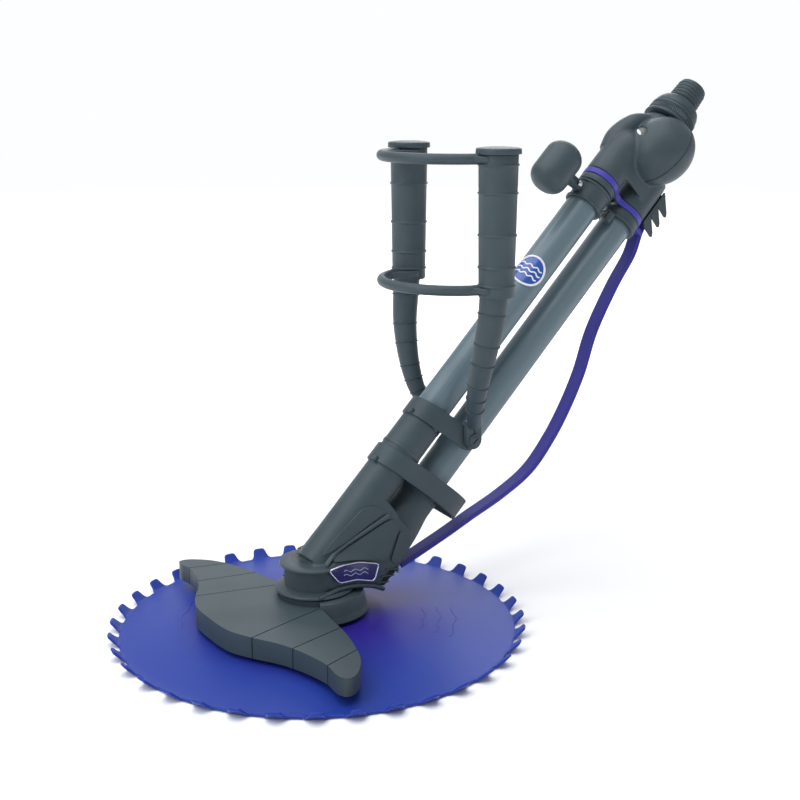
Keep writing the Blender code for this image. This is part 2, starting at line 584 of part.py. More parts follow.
def sleeve(side, name):
    """A tapered float sleeve with its cap."""
    top = HANDLE_TOP - 0.0060
    foot_r, top_r = 0.0192, 0.0212
    profile = [(0, top), (top_r, top), (foot_r, SLEEVE_FOOT), (0, SLEEVE_FOOT)]
    turned(name + "_float_sleeve", profile, "slate_plastic", CLEANER, (HANDLE_X, side * HANDLE_Y, 0))
    cap = [(0, HANDLE_TOP), (0.0150, HANDLE_TOP - 0.0004), (0.0242, HANDLE_TOP - 0.0014),
           (0.0242, top + GAP), (0, top + GAP)]
    turned(name + "_cap", cap, "slate_plastic", CLEANER, (HANDLE_X, side * HANDLE_Y, 0))


def bow(name, height):
    """A U-shaped rod in front of the posts, ending against their insides."""
    turn = [(HANDLE_X - 0.0700 * math.sin(math.radians(a)), 0.0790 * -math.cos(math.radians(a)), height)
            for a in range(18, 163, 12)]
    made = pipe(name, turn, [0.0058] * len(turn), "slate_plastic", CLEANER, 2)
    for side, post in ((-1, "near"), (1, "far")):
        gusset = [(HANDLE_X - 0.0420, side * 0.0640), (HANDLE_X - 0.0230, side * 0.0500),
                  (HANDLE_X + 0.0040, side * 0.0440), (HANDLE_X + 0.0040, side * 0.0700),
                  (HANDLE_X - 0.0180, side * 0.0760)]
        combine(made, plate("gusset_" + post, [gusset], 0.0070, None, CLEANER, (0, 0, height),
                            upright=False))
        clearance = rod("post_clearance", 0.0226, height - 0.02, height + 0.02, None, CLEANER,
                        (HANDLE_X, side * HANDLE_Y, 0), steps=32)
        combine(made, clearance, 'DIFFERENCE')


clear_scene()
PARTS = collection("pool_cleaner")
CUTTERS = collection("cutters")
CLEANER = empty("cleaner_frame", (SEAL_X, 0, 0))
MAST = empty("mast_frame", (0, 0, 0), (0, math.radians(90) - LEAN, 0), CLEANER)

seal_disc()
seal_hub()
foot()
front_wing()
housing()
side_trim()
valve()
tubes()
tube_badge()
lower_hoop()
handle_yoke()
head()
outlet()
side_float()
strap()
handle()
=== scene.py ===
"""The looks of a suction pool cleaner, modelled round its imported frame: seal, foot, wing, housing, twin
tubes, bands, side float, head, hose nipple, bumper strap and tilting float handle."""
import json
import math

import bmesh
import bpy
from mathutils import Matrix, Vector


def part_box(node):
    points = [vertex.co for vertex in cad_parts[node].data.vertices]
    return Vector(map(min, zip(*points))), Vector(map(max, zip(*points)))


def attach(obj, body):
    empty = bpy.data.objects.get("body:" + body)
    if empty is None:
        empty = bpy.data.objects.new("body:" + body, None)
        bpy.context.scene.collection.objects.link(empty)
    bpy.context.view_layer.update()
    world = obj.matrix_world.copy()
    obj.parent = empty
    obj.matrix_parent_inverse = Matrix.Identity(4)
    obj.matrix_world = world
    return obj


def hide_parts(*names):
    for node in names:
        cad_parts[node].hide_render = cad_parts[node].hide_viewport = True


bl_info = {
    "name": "Suction Pool Cleaner",
    "version": (1, 0, 0),
    "blender": (4, 5, 0),
    "location": "View3D > Sidebar > Pool Cleaner",
    "description": "Models the surfaces and materials of a suction pool cleaner round its working frame",
    "category": "Add Mesh",
}

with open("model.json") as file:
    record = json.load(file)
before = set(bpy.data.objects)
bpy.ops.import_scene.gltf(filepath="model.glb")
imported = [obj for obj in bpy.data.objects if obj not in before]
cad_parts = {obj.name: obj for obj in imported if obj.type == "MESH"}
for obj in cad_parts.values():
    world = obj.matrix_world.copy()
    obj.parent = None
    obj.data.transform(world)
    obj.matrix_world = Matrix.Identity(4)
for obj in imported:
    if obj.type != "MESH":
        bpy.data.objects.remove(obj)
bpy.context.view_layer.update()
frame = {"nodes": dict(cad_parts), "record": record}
JOINTS = {joint["name"]: joint for joint in frame["record"]["behaviour"]["joints"]}

# ---- places, read from the frame ---------------------------------------------------------------------
ORIGIN = Vector((JOINTS["seal_spin"]["pos_m"][0], 0, 0))
UP = Vector(JOINTS["hose_swivel"]["axis"]).normalized()
OUT = Vector((0, 1, 0)).cross(UP)
FOOT = Matrix.Translation(ORIGIN)
MAST = Matrix.Translation(ORIGIN) @ Matrix((OUT, (0, 1, 0), UP)).transposed().to_4x4()


def across_of(joint):
    return (Vector(JOINTS[joint]["pos_m"]) - ORIGIN).dot(OUT)


FRONT = across_of("float_turn")
OUTLET = across_of("hose_swivel")
REAR = 2 * OUTLET - FRONT
PIVOT = Vector(JOINTS["handle_tilt"]["pos_m"])
POST_LOW, POST_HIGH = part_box("near_float_sleeve")
POST_X = (POST_LOW[0] + POST_HIGH[0]) / 2 - ORIGIN.x
POST_Y = -(POST_LOW[1] + POST_HIGH[1]) / 2
CAP_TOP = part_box("near_cap")[1][2]
SLEEVE_FOOT = POST_LOW[2]
TUBE_R = 0.0200
TURNS = 96                        # sides of a turned piece
MERGE_DIST = 0.000005
CUT_DIST = 0.00001


# ---- colours and sizes a user would change -----------------------------------------------------------
def linear(code):
    """An sRGB hex colour as linear RGB."""
    parts = [int(code[i:i + 2], 16) / 255 for i in (1, 3, 5)]
    return tuple(c / 12.92 if c <= 0.04045 else ((c + 0.055) / 1.055) ** 2.4 for c in parts)


def colour(name, description, code):
    return bpy.props.FloatVectorProperty(name=name, description=description, subtype='COLOR', size=3,
                                         min=0, max=1, default=linear(code))


def length(name, description, value):
    return bpy.props.FloatProperty(name=name, description=description, subtype='DISTANCE', unit='LENGTH',
                                   default=value, min=0.0001, precision=4)


class CleanerColours(bpy.types.PropertyGroup):
    """Colours of the moulded and extruded plastics"""
    slate: colour("Slate", "Polypropylene mouldings", "#44535a")
    slate_deep: colour("Deep slate", "Polypropylene in its darker flow", "#333f45")
    pipe: colour("Pipe", "Extruded tubes", "#62757f")
    seal: colour("Seal", "Cast polyurethane seal", "#223c98")
    # painted shade: the violet the seal is darkened to near the foot
    seal_foot_shade: colour("Deep seal", "Polyurethane near the foot, where it is thick", "#2a1d86")
    strap: colour("Strap", "Elastomer bumper strap", "#4441a0")
    band: colour("Band", "Elastomer lock band", "#4644a8")
    floor: colour("Floor", "Studio floor", "#fafbfd")


class CleanerSizes(bpy.types.PropertyGroup):
    """Sizes of the finishing details"""
    rib: length("Rib", "How far the rings on the handle stand out", 0.0011)
    voxel: length("Voxel", "Cell size where mouldings flow together", 0.0015)
    grain: length("Grain", "Moulded surface grain, drawn coarse enough to show", 0.0012)


def colours():
    return bpy.context.scene.cleaner_colours


def sizes():
    return bpy.context.scene.cleaner_sizes


# ---- materials ---------------------------------------------------------------------------------------
def add(tree, kind, settings=None, links=None):
    """A shader node with its settings and its incoming links."""
    made = tree.nodes.new(kind)
    for key, value in (settings or {}).items():
        if isinstance(key, int) or key in made.inputs:
            made.inputs[key].default_value = value
        else:
            setattr(made, key, value)
    for key, socket in (links or {}).items():
        tree.links.new(socket, made.inputs[key])
    return made


def begin(name):
    """A new material, its tree, its shader and its object coordinates, or None if it is already made."""
    if name in bpy.data.materials:
        return None
    made = bpy.data.materials.new(name)
    made.use_nodes = True
    tree = made.node_tree
    place = add(tree, "ShaderNodeTexCoord")
    return made, tree, tree.nodes["Principled BSDF"], place.outputs["Object"]


def moulded(name, light, deep, roughness, grain):
    """Injection-moulded plastic: broad flow marks in the colour and a fine spark-eroded grain."""
    started = begin(name)
    if started:
        made, tree, shader, spot = started
        flow = add(tree, "ShaderNodeTexNoise", {"Scale": 1 / 0.060, "Detail": 3.0}, {"Vector": spot})
        tone = add(tree, "ShaderNodeMix", {"data_type": 'RGBA'}, {"Factor": flow.outputs["Fac"]})
        tone.inputs[6].default_value = (*deep, 1)
        tone.inputs[7].default_value = (*light, 1)
        tree.links.new(tone.outputs[2], shader.inputs["Base Color"])
        fine = add(tree, "ShaderNodeTexNoise", {"Scale": 1 / grain, "Detail": 2.0}, {"Vector": spot})
        rough = add(tree, "ShaderNodeMapRange", {"To Min": roughness - 0.05, "To Max": roughness + 0.07},
                    {"Value": fine.outputs["Fac"]})
        tree.links.new(rough.outputs["Result"], shader.inputs["Roughness"])
        bump = add(tree, "ShaderNodeBump", {"Strength": 0.25, "Distance": 0.00012},
                   {"Height": fine.outputs["Fac"]})
        tree.links.new(bump.outputs["Normal"], shader.inputs["Normal"])
        shader.inputs["IOR"].default_value = 1.49
        shader.inputs["Specular IOR Level"].default_value = 0.30
    return bpy.data.materials[name]


def slate():
    """Moulded polypropylene: the satin slate grey of most of the cleaner."""
    return moulded("moulded_polypropylene", colours().slate, colours().slate_deep, 0.44, sizes().grain)


def extruded_pvc():
    """Extruded PVC pipe: smoother, lighter, with faint die lines that run along the tube."""
    started = begin("extruded_pvc")
    if started:
        made, tree, shader, spot = started
        lean = math.atan2(UP.x, UP.z)
        turn = add(tree, "ShaderNodeMapping", {"vector_type": 'TEXTURE', "Rotation": (0, lean, 0),
                                               "Location": ORIGIN}, {"Vector": spot})
        stretch = add(tree, "ShaderNodeVectorMath", {"operation": 'MULTIPLY', 1: (1, 1, 0.02)},
                      {0: turn.outputs["Vector"]})
        lines = add(tree, "ShaderNodeTexNoise", {"Scale": 1 / 0.0022, "Detail": 2.0},
                    {"Vector": stretch.outputs["Vector"]})
        tone = add(tree, "ShaderNodeMix", {"data_type": 'RGBA'}, {"Factor": lines.outputs["Fac"]})
        tone.inputs[6].default_value = (*(c * 0.90 for c in colours().pipe), 1)
        tone.inputs[7].default_value = (*(c * 1.08 for c in colours().pipe), 1)
        tree.links.new(tone.outputs[2], shader.inputs["Base Color"])
        bump = add(tree, "ShaderNodeBump", {"Strength": 0.12, "Distance": 0.0001},
                   {"Height": lines.outputs["Fac"]})
        tree.links.new(bump.outputs["Normal"], shader.inputs["Normal"])
        shader.inputs["Roughness"].default_value = 0.30
        shader.inputs["Specular IOR Level"].default_value = 0.40
        shader.inputs["IOR"].default_value = 1.53
    return bpy.data.materials["extruded_pvc"]


def cast_polyurethane():
    """Cast polyurethane: royal blue with painted shade that turns it violet towards the foot, a little light
    passing through it.
    """
    started = begin("cast_polyurethane")
    if started:
        made, tree, shader, spot = started
        flow = add(tree, "ShaderNodeTexNoise", {"Scale": 1 / 0.050, "Detail": 4.0}, {"Vector": spot})
        # painted shade: the blue darkens to violet towards the foot, its edge blurred by noise
        reach = add(tree, "ShaderNodeVectorMath", {"operation": 'DISTANCE', 1: tuple(ORIGIN)}, {0: spot})
        spread = add(tree, "ShaderNodeMath", {"operation": 'MULTIPLY_ADD', 1: 0.05, 2: -0.025},
                     {0: flow.outputs["Fac"]})
        blurred = add(tree, "ShaderNodeMath", {"operation": 'ADD'},
                      {0: reach.outputs["Value"], 1: spread.outputs["Value"]})
        share = add(tree, "ShaderNodeMapRange", {"From Min": 0.070, "From Max": 0.165},
                    {"Value": blurred.outputs["Value"]})
        tone = add(tree, "ShaderNodeMix", {"data_type": 'RGBA'}, {"Factor": share.outputs["Result"]})
        tone.inputs[6].default_value = (*colours().seal_foot_shade, 1)
        tone.inputs[7].default_value = (*colours().seal, 1)
        tree.links.new(tone.outputs[2], shader.inputs["Base Color"])
        ripple = add(tree, "ShaderNodeTexNoise", {"Scale": 1 / 0.012, "Detail": 2.0}, {"Vector": spot})
        bump = add(tree, "ShaderNodeBump", {"Strength": 0.20, "Distance": 0.0006},
                   {"Height": ripple.outputs["Fac"]})
        tree.links.new(bump.outputs["Normal"], shader.inputs["Normal"])
        shader.inputs["Roughness"].default_value = 0.42
        shader.inputs["IOR"].default_value = 1.50
        shader.inputs["Specular IOR Level"].default_value = 0.22
        shader.inputs["Subsurface Weight"].default_value = 0.15
        shader.inputs["Subsurface Radius"].default_value = (0.002, 0.003, 0.012)
        shader.inputs["Subsurface Scale"].default_value = 1.0
    return bpy.data.materials["cast_polyurethane"]


def strap_elastomer():
    """Thermoplastic elastomer: the strap's navy violet, satin, faintly mottled."""
    return moulded("strap_elastomer", colours().strap, tuple(c * 0.8 for c in colours().strap), 0.42, 0.0016)


def band_elastomer():
    """The same elastomer in the lock band's lighter violet; on the strap's edge beads this lighter violet is
    a painted highlight.
    """
    return moulded("band_elastomer", colours().band, tuple(c * 0.88 for c in colours().band), 0.40, 0.0016)


def nitrile_rubber():
    """Nitrile rubber: black and matt, with a coarse dusty grain; the same black is also painted shade in the
    vent recesses and the lug slits.
    """
    return moulded("nitrile_rubber", linear("#1d1f21"), linear("#151617"), 0.68, 0.0009)


def stainless_steel():
    """Turned stainless steel: fine lathe marks break up its reflections."""
    started = begin("stainless_steel")
    if started:
        made, tree, shader, spot = started
        fine = add(tree, "ShaderNodeTexNoise", {"Scale": 1 / 0.0006, "Detail": 2.0}, {"Vector": spot})
        rough = add(tree, "ShaderNodeMapRange", {"To Min": 0.22, "To Max": 0.40},
                    {"Value": fine.outputs["Fac"]})
        tree.links.new(rough.outputs["Result"], shader.inputs["Roughness"])
        shader.inputs["Base Color"].default_value = (*linear("#b9bcc0"), 1)
        shader.inputs["Metallic"].default_value = 1.0
    return bpy.data.materials["stainless_steel"]


def hot_foil():
    """Hot-stamped foil: the bright silver line round a badge."""
    started = begin("hot_foil")
    if started:
        made, tree, shader, spot = started
        fine = add(tree, "ShaderNodeTexNoise", {"Scale": 1 / 0.0010, "Detail": 2.0}, {"Vector": spot})
        rough = add(tree, "ShaderNodeMapRange", {"To Min": 0.14, "To Max": 0.26},
                    {"Value": fine.outputs["Fac"]})
        tree.links.new(rough.outputs["Result"], shader.inputs["Roughness"])
        shader.inputs["Base Color"].default_value = (*linear("#d5d3e6"), 1)
        shader.inputs["Metallic"].default_value = 1.0
    return bpy.data.materials["hot_foil"]


def printed_vinyl(name, code):
    """Printed vinyl under a clear skin: flat ink with a gloss coat."""
    started = begin(name)
    if started:
        made, tree, shader, spot = started
        ink = add(tree, "ShaderNodeTexNoise", {"Scale": 1 / 0.0015, "Detail": 2.0}, {"Vector": spot})
        tone = add(tree, "ShaderNodeMix", {"data_type": 'RGBA'}, {"Factor": ink.outputs["Fac"]})
        tone.inputs[6].default_value = (*(c * 0.94 for c in linear(code)), 1)
        tone.inputs[7].default_value = (*linear(code), 1)
        tree.links.new(tone.outputs[2], shader.inputs["Base Color"])
        shader.inputs["Roughness"].default_value = 0.25
        shader.inputs["Coat Weight"].default_value = 0.6
        shader.inputs["Coat Roughness"].default_value = 0.08
    return bpy.data.materials[name]


# ---- shaping -----------------------------------------------------------------------------------------
def soften(points, radius, closed=True):
    """Round every corner of a flat outline or a turning profile with three points."""
    count = len(points)
    made = []
    for i, corner in enumerate(points):
        corner = Vector(corner)
        if not closed and i in (0, count - 1):
            made.append(tuple(corner))
            continue
        before, after = Vector(points[i - 1]) - corner, Vector(points[(i + 1) % count]) - corner
        reach = min(radius, before.length * 0.45, after.length * 0.45)
        start, stop = corner + before.normalized() * reach, corner + after.normalized() * reach
        middle = start * 0.25 + corner * 0.5 + stop * 0.25
        made += [tuple(start), tuple(middle), tuple(stop)]
    return made


def flowing(points, parts, closed=False):
    """A smooth curve through given points, with this many parts between each two."""
    points = [Vector(p) for p in points]
    count = len(points)
    made = []
    for i in range(count if closed else count - 1):
        if closed:
            a, b, c, d = (points[(i + k) % count] for k in (-1, 0, 1, 2))
        else:
            a, b, c, d = points[max(i - 1, 0)], points[i], points[i + 1], points[min(i + 2, count - 1)]
        for step in range(parts):
            t = step / parts
            made.append(b * 1.0 + (c - a) * (t / 2) + (a * 2 - b * 5 + c * 4 - d) * (t * t / 2)
                        + (b * 3 - a - c * 3 + d) * (t ** 3 / 2))
    if not closed:
        made.append(points[-1])
    return [tuple(p) for p in made]


def arc(centre, radius, start, stop, count):
    """Points on an arc, in degrees."""
    angles = [math.radians(start + (stop - start) * i / (count - 1)) for i in range(count)]
    return [(centre[0] + radius * math.cos(a), centre[1] + radius * math.sin(a)) for a in angles]


def turned(profile, radius=0.0006, steps=TURNS):
    """A turned solid from (radius, height) corners; a profile that starts off the axis closes on itself."""
    ring = profile[0][0] > 0
    rounded = soften(profile, radius, ring)
    bm = bmesh.new()
    verts = [bm.verts.new((r, 0, z)) for r, z in rounded]
    edges = [bm.edges.new(pair) for pair in zip(verts, verts[1:])]
    if ring:
        edges.append(bm.edges.new((verts[-1], verts[0])))
    bmesh.ops.spin(bm, geom=verts + edges, axis=(0, 0, 1), cent=(0, 0, 0), angle=2 * math.pi, steps=steps,
                   use_merge=True)
    bmesh.ops.remove_doubles(bm, verts=bm.verts, dist=MERGE_DIST)
    bmesh.ops.recalc_face_normals(bm, faces=bm.faces)
    return bm


def slab(outline, low, high):
    """A flat outline given thickness along Z."""
    bm = bmesh.new()
    face = bm.faces.new([bm.verts.new((x, y, low)) for x, y in outline])
    grown = bmesh.ops.extrude_face_region(bm, geom=[face])
    lifted = [v for v in grown["geom"] if isinstance(v, bmesh.types.BMVert)]
    bmesh.ops.translate(bm, vec=(0, 0, high - low), verts=lifted)
    bmesh.ops.recalc_face_normals(bm, faces=bm.faces)
    return bm


def block(size, centre):
    bm = bmesh.new()
    bmesh.ops.create_cube(bm, size=1)
    bmesh.ops.scale(bm, vec=Vector(size), verts=bm.verts)
    bmesh.ops.translate(bm, vec=Vector(centre), verts=bm.verts)
    return bm


def ball(radius, centre, stretch=(1, 1, 1)):
    bm = bmesh.new()
    bmesh.ops.create_uvsphere(bm, u_segments=64, v_segments=32, radius=radius)
    bmesh.ops.scale(bm, vec=Vector(stretch), verts=bm.verts)
    bmesh.ops.translate(bm, vec=Vector(centre), verts=bm.verts)
    return bm


def hose(points, radii, sides=8, closed=False):
    """A round bar along a line, whose radius may change, as a bmesh."""
    curve = bpy.data.curves.new("bar", 'CURVE')
    curve.dimensions = '3D'
    curve.bevel_depth = 1.0
    curve.bevel_resolution = sides
    curve.use_fill_caps = True
    spline = curve.splines.new('POLY')
    spline.points.add(len(points) - 1)
    for i, point in enumerate(points):
        spline.points[i].co = (*point, 1)
        spline.points[i].radius = radii[i] if isinstance(radii, (list, tuple)) else radii
    spline.use_cyclic_u = closed
    holder = bpy.data.objects.new("bar", curve)
    bpy.context.scene.collection.objects.link(holder)
    bpy.context.view_layer.update()
    mesh = bpy.data.meshes.new_from_object(holder.evaluated_get(bpy.context.evaluated_depsgraph_get()))
    bpy.data.objects.remove(holder, do_unlink=True)
    bm = bmesh.new()
    bm.from_mesh(mesh)
    bpy.data.meshes.remove(mesh)
    bmesh.ops.remove_doubles(bm, verts=bm.verts, dist=MERGE_DIST)
    bmesh.ops.recalc_face_normals(bm, faces=bm.faces)
    return bm


def band(line, lows, highs, thick):
    """A strip that stands on a flat closed or open line: its lower and upper edges may rise and fall."""
    closed = line[0] == line[-1]
    if closed:
        line, lows, highs = line[:-1], lows[:-1], highs[:-1]
    bm = bmesh.new()
    verts = [bm.verts.new((x, y, low)) for (x, y), low in zip(line, lows)]
    edges = [bm.edges.new(pair) for pair in zip(verts, verts[1:])]
    if closed:
        edges.append(bm.edges.new((verts[-1], verts[0])))
    tall = {tuple(v.co): high for v, high in zip(verts, highs)}
    grown = bmesh.ops.extrude_edge_only(bm, edges=edges)
    for v in grown["geom"]:
        if isinstance(v, bmesh.types.BMVert):
            v.co.z = tall[tuple(v.co)]
    bmesh.ops.recalc_face_normals(bm, faces=bm.faces)
    bmesh.ops.solidify(bm, geom=bm.faces[:], thickness=thick)
    bmesh.ops.recalc_face_normals(bm, faces=bm.faces)
    return bm


def join(*meshes):
    """Several bmeshes in one, their surfaces still overlapping."""
    whole = meshes[0]
    for other in meshes[1:]:
        spare = bpy.data.meshes.new("spare")
        other.to_mesh(spare)
        other.free()
        whole.from_mesh(spare)
        bpy.data.meshes.remove(spare)
    return whole


def cut_across(bm, spot, normal, dist=CUT_DIST, **dropped):
    """Cut every face along a plane, and drop the side that is named, if one is."""
    bmesh.ops.bisect_plane(bm, geom=bm.verts[:] + bm.edges[:] + bm.faces[:], dist=dist, plane_co=spot,
                           plane_no=normal, **dropped)


def moved(bm, matrix):
    bmesh.ops.transform(bm, matrix=matrix, verts=bm.verts)
    return bm


def as_mesh(bm, name):
    mesh = bpy.data.meshes.new(name)
    bm.to_mesh(mesh)
    bm.free()
    return mesh


def linked(mesh, name):
    made = bpy.data.objects.new(name, mesh)
    bpy.context.scene.collection.objects.link(made)
    return made


def settle(piece):
    """Replace a piece's mesh with what its modifiers make of it, and drop them."""
    bpy.context.view_layer.update()
    mesh = bpy.data.meshes.new_from_object(piece.evaluated_get(bpy.context.evaluated_depsgraph_get()))
    piece.modifiers.clear()
    piece.data = mesh
    return piece


def melt(bm, name, voxel, smoothing):
    """Fuse overlapping solids into one skin whose inner corners flow together."""
    piece = linked(as_mesh(bm, name), name)
    remesh = piece.modifiers.new("Fuse", 'REMESH')
    remesh.mode = 'VOXEL'
    remesh.voxel_size = voxel
    relax = piece.modifiers.new("Relax", 'SMOOTH')
    relax.factor = 0.5
    relax.iterations = smoothing
    return settle(piece)


def carve(piece, bm):
    """Cut a solid out of a piece and settle it."""
    cutter = linked(as_mesh(bm, "cutter"), "cutter")
    cut = piece.modifiers.new("Cut", 'BOOLEAN')
    cut.operation = 'DIFFERENCE'
    cut.object = cutter
    cut.solver = 'EXACT'
    settle(piece)
    bpy.data.objects.remove(cutter, do_unlink=True)
    return piece


def finish(piece, material, body, nodes=(), edge=0.0, matrix=None, angle=38):
    """Place a piece, shade it, give it its material and hang it on its body."""
    if matrix is not None:
        piece.data.transform(matrix)
    piece.data.materials.clear()
    piece.data.materials.append(material)
    piece.data.shade_smooth()
    piece.data.set_sharp_from_angle(angle=math.radians(angle))
    if edge:
        rounding = piece.modifiers.new("Edges", 'BEVEL')
        rounding.width = edge
        rounding.segments = 3
        rounding.limit_method = 'ANGLE'
        rounding.angle_limit = math.radians(40)
        rounding.harden_normals = True
    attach(piece, body)
    if nodes:
        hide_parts(*nodes)
    return piece


def make(name, bm, material, body, nodes=(), edge=0.0, matrix=FOOT, angle=38):
    """Finish a piece straight from its bmesh."""
    return finish(linked(as_mesh(bm, name), name), material, body, nodes, edge, matrix, angle)


def mould(name, bm, body="cleaner", nodes=(), edge=0.0, matrix=FOOT, angle=38):
    """Make a slate moulding, which most pieces are."""
    return make(name, bm, slate(), body, nodes, edge, matrix, angle)


def at(across, side=0.0, along=0.0):
    """A translation in the mast's own frame."""
    return MAST @ Matrix.Translation((across, side, along))


UPRIGHT = Matrix.Rotation(math.radians(90), 4, 'X')     # stands an (x, z) outline up, thickness along Y


# ---- operators ---------------------------------------------------------------------------------------
class CLEANER_OT_stage(bpy.types.Operator):
    """Set the camera, the pale studio floor with its painted glow, and the soft lights"""
    bl_idname = "cleaner.stage"
    bl_label = "Stage"

    def execute(self, context):
        scene = context.scene
        lens = bpy.data.cameras.new("camera")
        lens.sensor_width = 36.0
        lens.lens = 58.04
        lens.clip_start = 0.01
        camera = bpy.data.objects.new("camera", lens)
        camera.location = ORIGIN + Vector((-0.6762, -1.1586, 0.5921))
        camera.rotation_euler = (math.radians(90 - 13.944), 0, math.radians(-34.158))
        scene.collection.objects.link(camera)
        scene.camera = camera
        scene.view_settings.view_transform = 'Standard'

        bm = bmesh.new()
        bmesh.ops.create_circle(bm, cap_ends=True, segments=96, radius=6.0)
        floor = linked(as_mesh(bm, "floor"), "floor")
        floor.location.z = -0.0005
        started = begin("matt_paint")
        if started:
            made, tree, shader, spot = started
            shader.inputs["Base Color"].default_value = (*colours().floor, 1)
            shader.inputs["Roughness"].default_value = 0.9
            shader.inputs["Specular IOR Level"].default_value = 0.0
            # painted light: the floor glows more the further it lies from the cleaner, so that it reads white
            # into the distance
            reach = add(tree, "ShaderNodeVectorMath", {"operation": 'LENGTH'}, {0: spot})
            painted_floor_glow = add(tree, "ShaderNodeMapRange", {"From Min": 0.45, "From Max": 2.2, "To Min": 0.0,
                                                    "To Max": 0.8}, {"Value": reach.outputs["Value"]})
            shader.inputs["Emission Color"].default_value = (1, 1, 1, 1)
            tree.links.new(painted_floor_glow.outputs["Result"], shader.inputs["Emission Strength"])
        floor.data.materials.append(bpy.data.materials["matt_paint"])

        world = bpy.data.worlds.new("studio")
        world.use_nodes = True
        tree = world.node_tree
        way = add(tree, "ShaderNodeTexCoord")
        facing = add(tree, "ShaderNodeVectorMath", {"operation": 'DOT_PRODUCT', 1: (0.5615, 0.8275, 0.0)},
                     {0: way.outputs["Generated"]})
        share = add(tree, "ShaderNodeMapRange", {"From Min": 0.70, "From Max": 0.90, "To Min": 0.42,
                                                 "To Max": 1.0}, {"Value": facing.outputs["Value"]})
        tree.links.new(share.outputs["Result"], tree.nodes["Background"].inputs["Strength"])
        tree.nodes["Background"].inputs["Color"].default_value = (0.985, 0.992, 1.0, 1)
        scene.world = world
        self.lamp("top", (-0.5, 0.2, 2.6), 3.0, 62.0)
        self.lamp("key", (-2.2, -0.2, 1.6), 1.2, 16.0)
        self.lamp("rim", (1.6, 1.6, 1.6), 1.2, 12.0)
        return {'FINISHED'}

    def lamp(self, name, place, size, power):
        light = bpy.data.lights.new(name, 'AREA')
        light.shape = 'SQUARE'
        light.size = size
        light.energy = power
        lamp = bpy.data.objects.new(name, light)
        lamp.location = place
        aim = Vector((0, 0, 0.2)) - lamp.location
        lamp.rotation_euler = aim.to_track_quat('-Z', 'Y').to_euler()
        bpy.context.scene.collection.objects.link(lamp)


SEAL_PROFILE = [(0.0462, 0.0174), (0.0700, 0.0170), (0.0790, 0.0158), (0.1150, 0.0121), (0.1500, 0.0082),
                (0.1800, 0.0045), (0.2030, 0.0021), (0.2125, 0.0016), (0.2188, 0.0021)]
TEETH = 36
CELLS = 12                        # cells round the rim to a tooth and its gap
TOOTH_ROWS = [(0.09, 0.0116), (0.22, 0.0100), (0.45, 0.0088), (0.70, 0.0080), (0.90, 0.0073), (1.0, 0.0062)]
TOOTH_OUT = 0.0108
TOOTH_RISE = 0.0100
TOOTH_TURN = -1.3                 # degrees the seal stands turned from the frame's own start


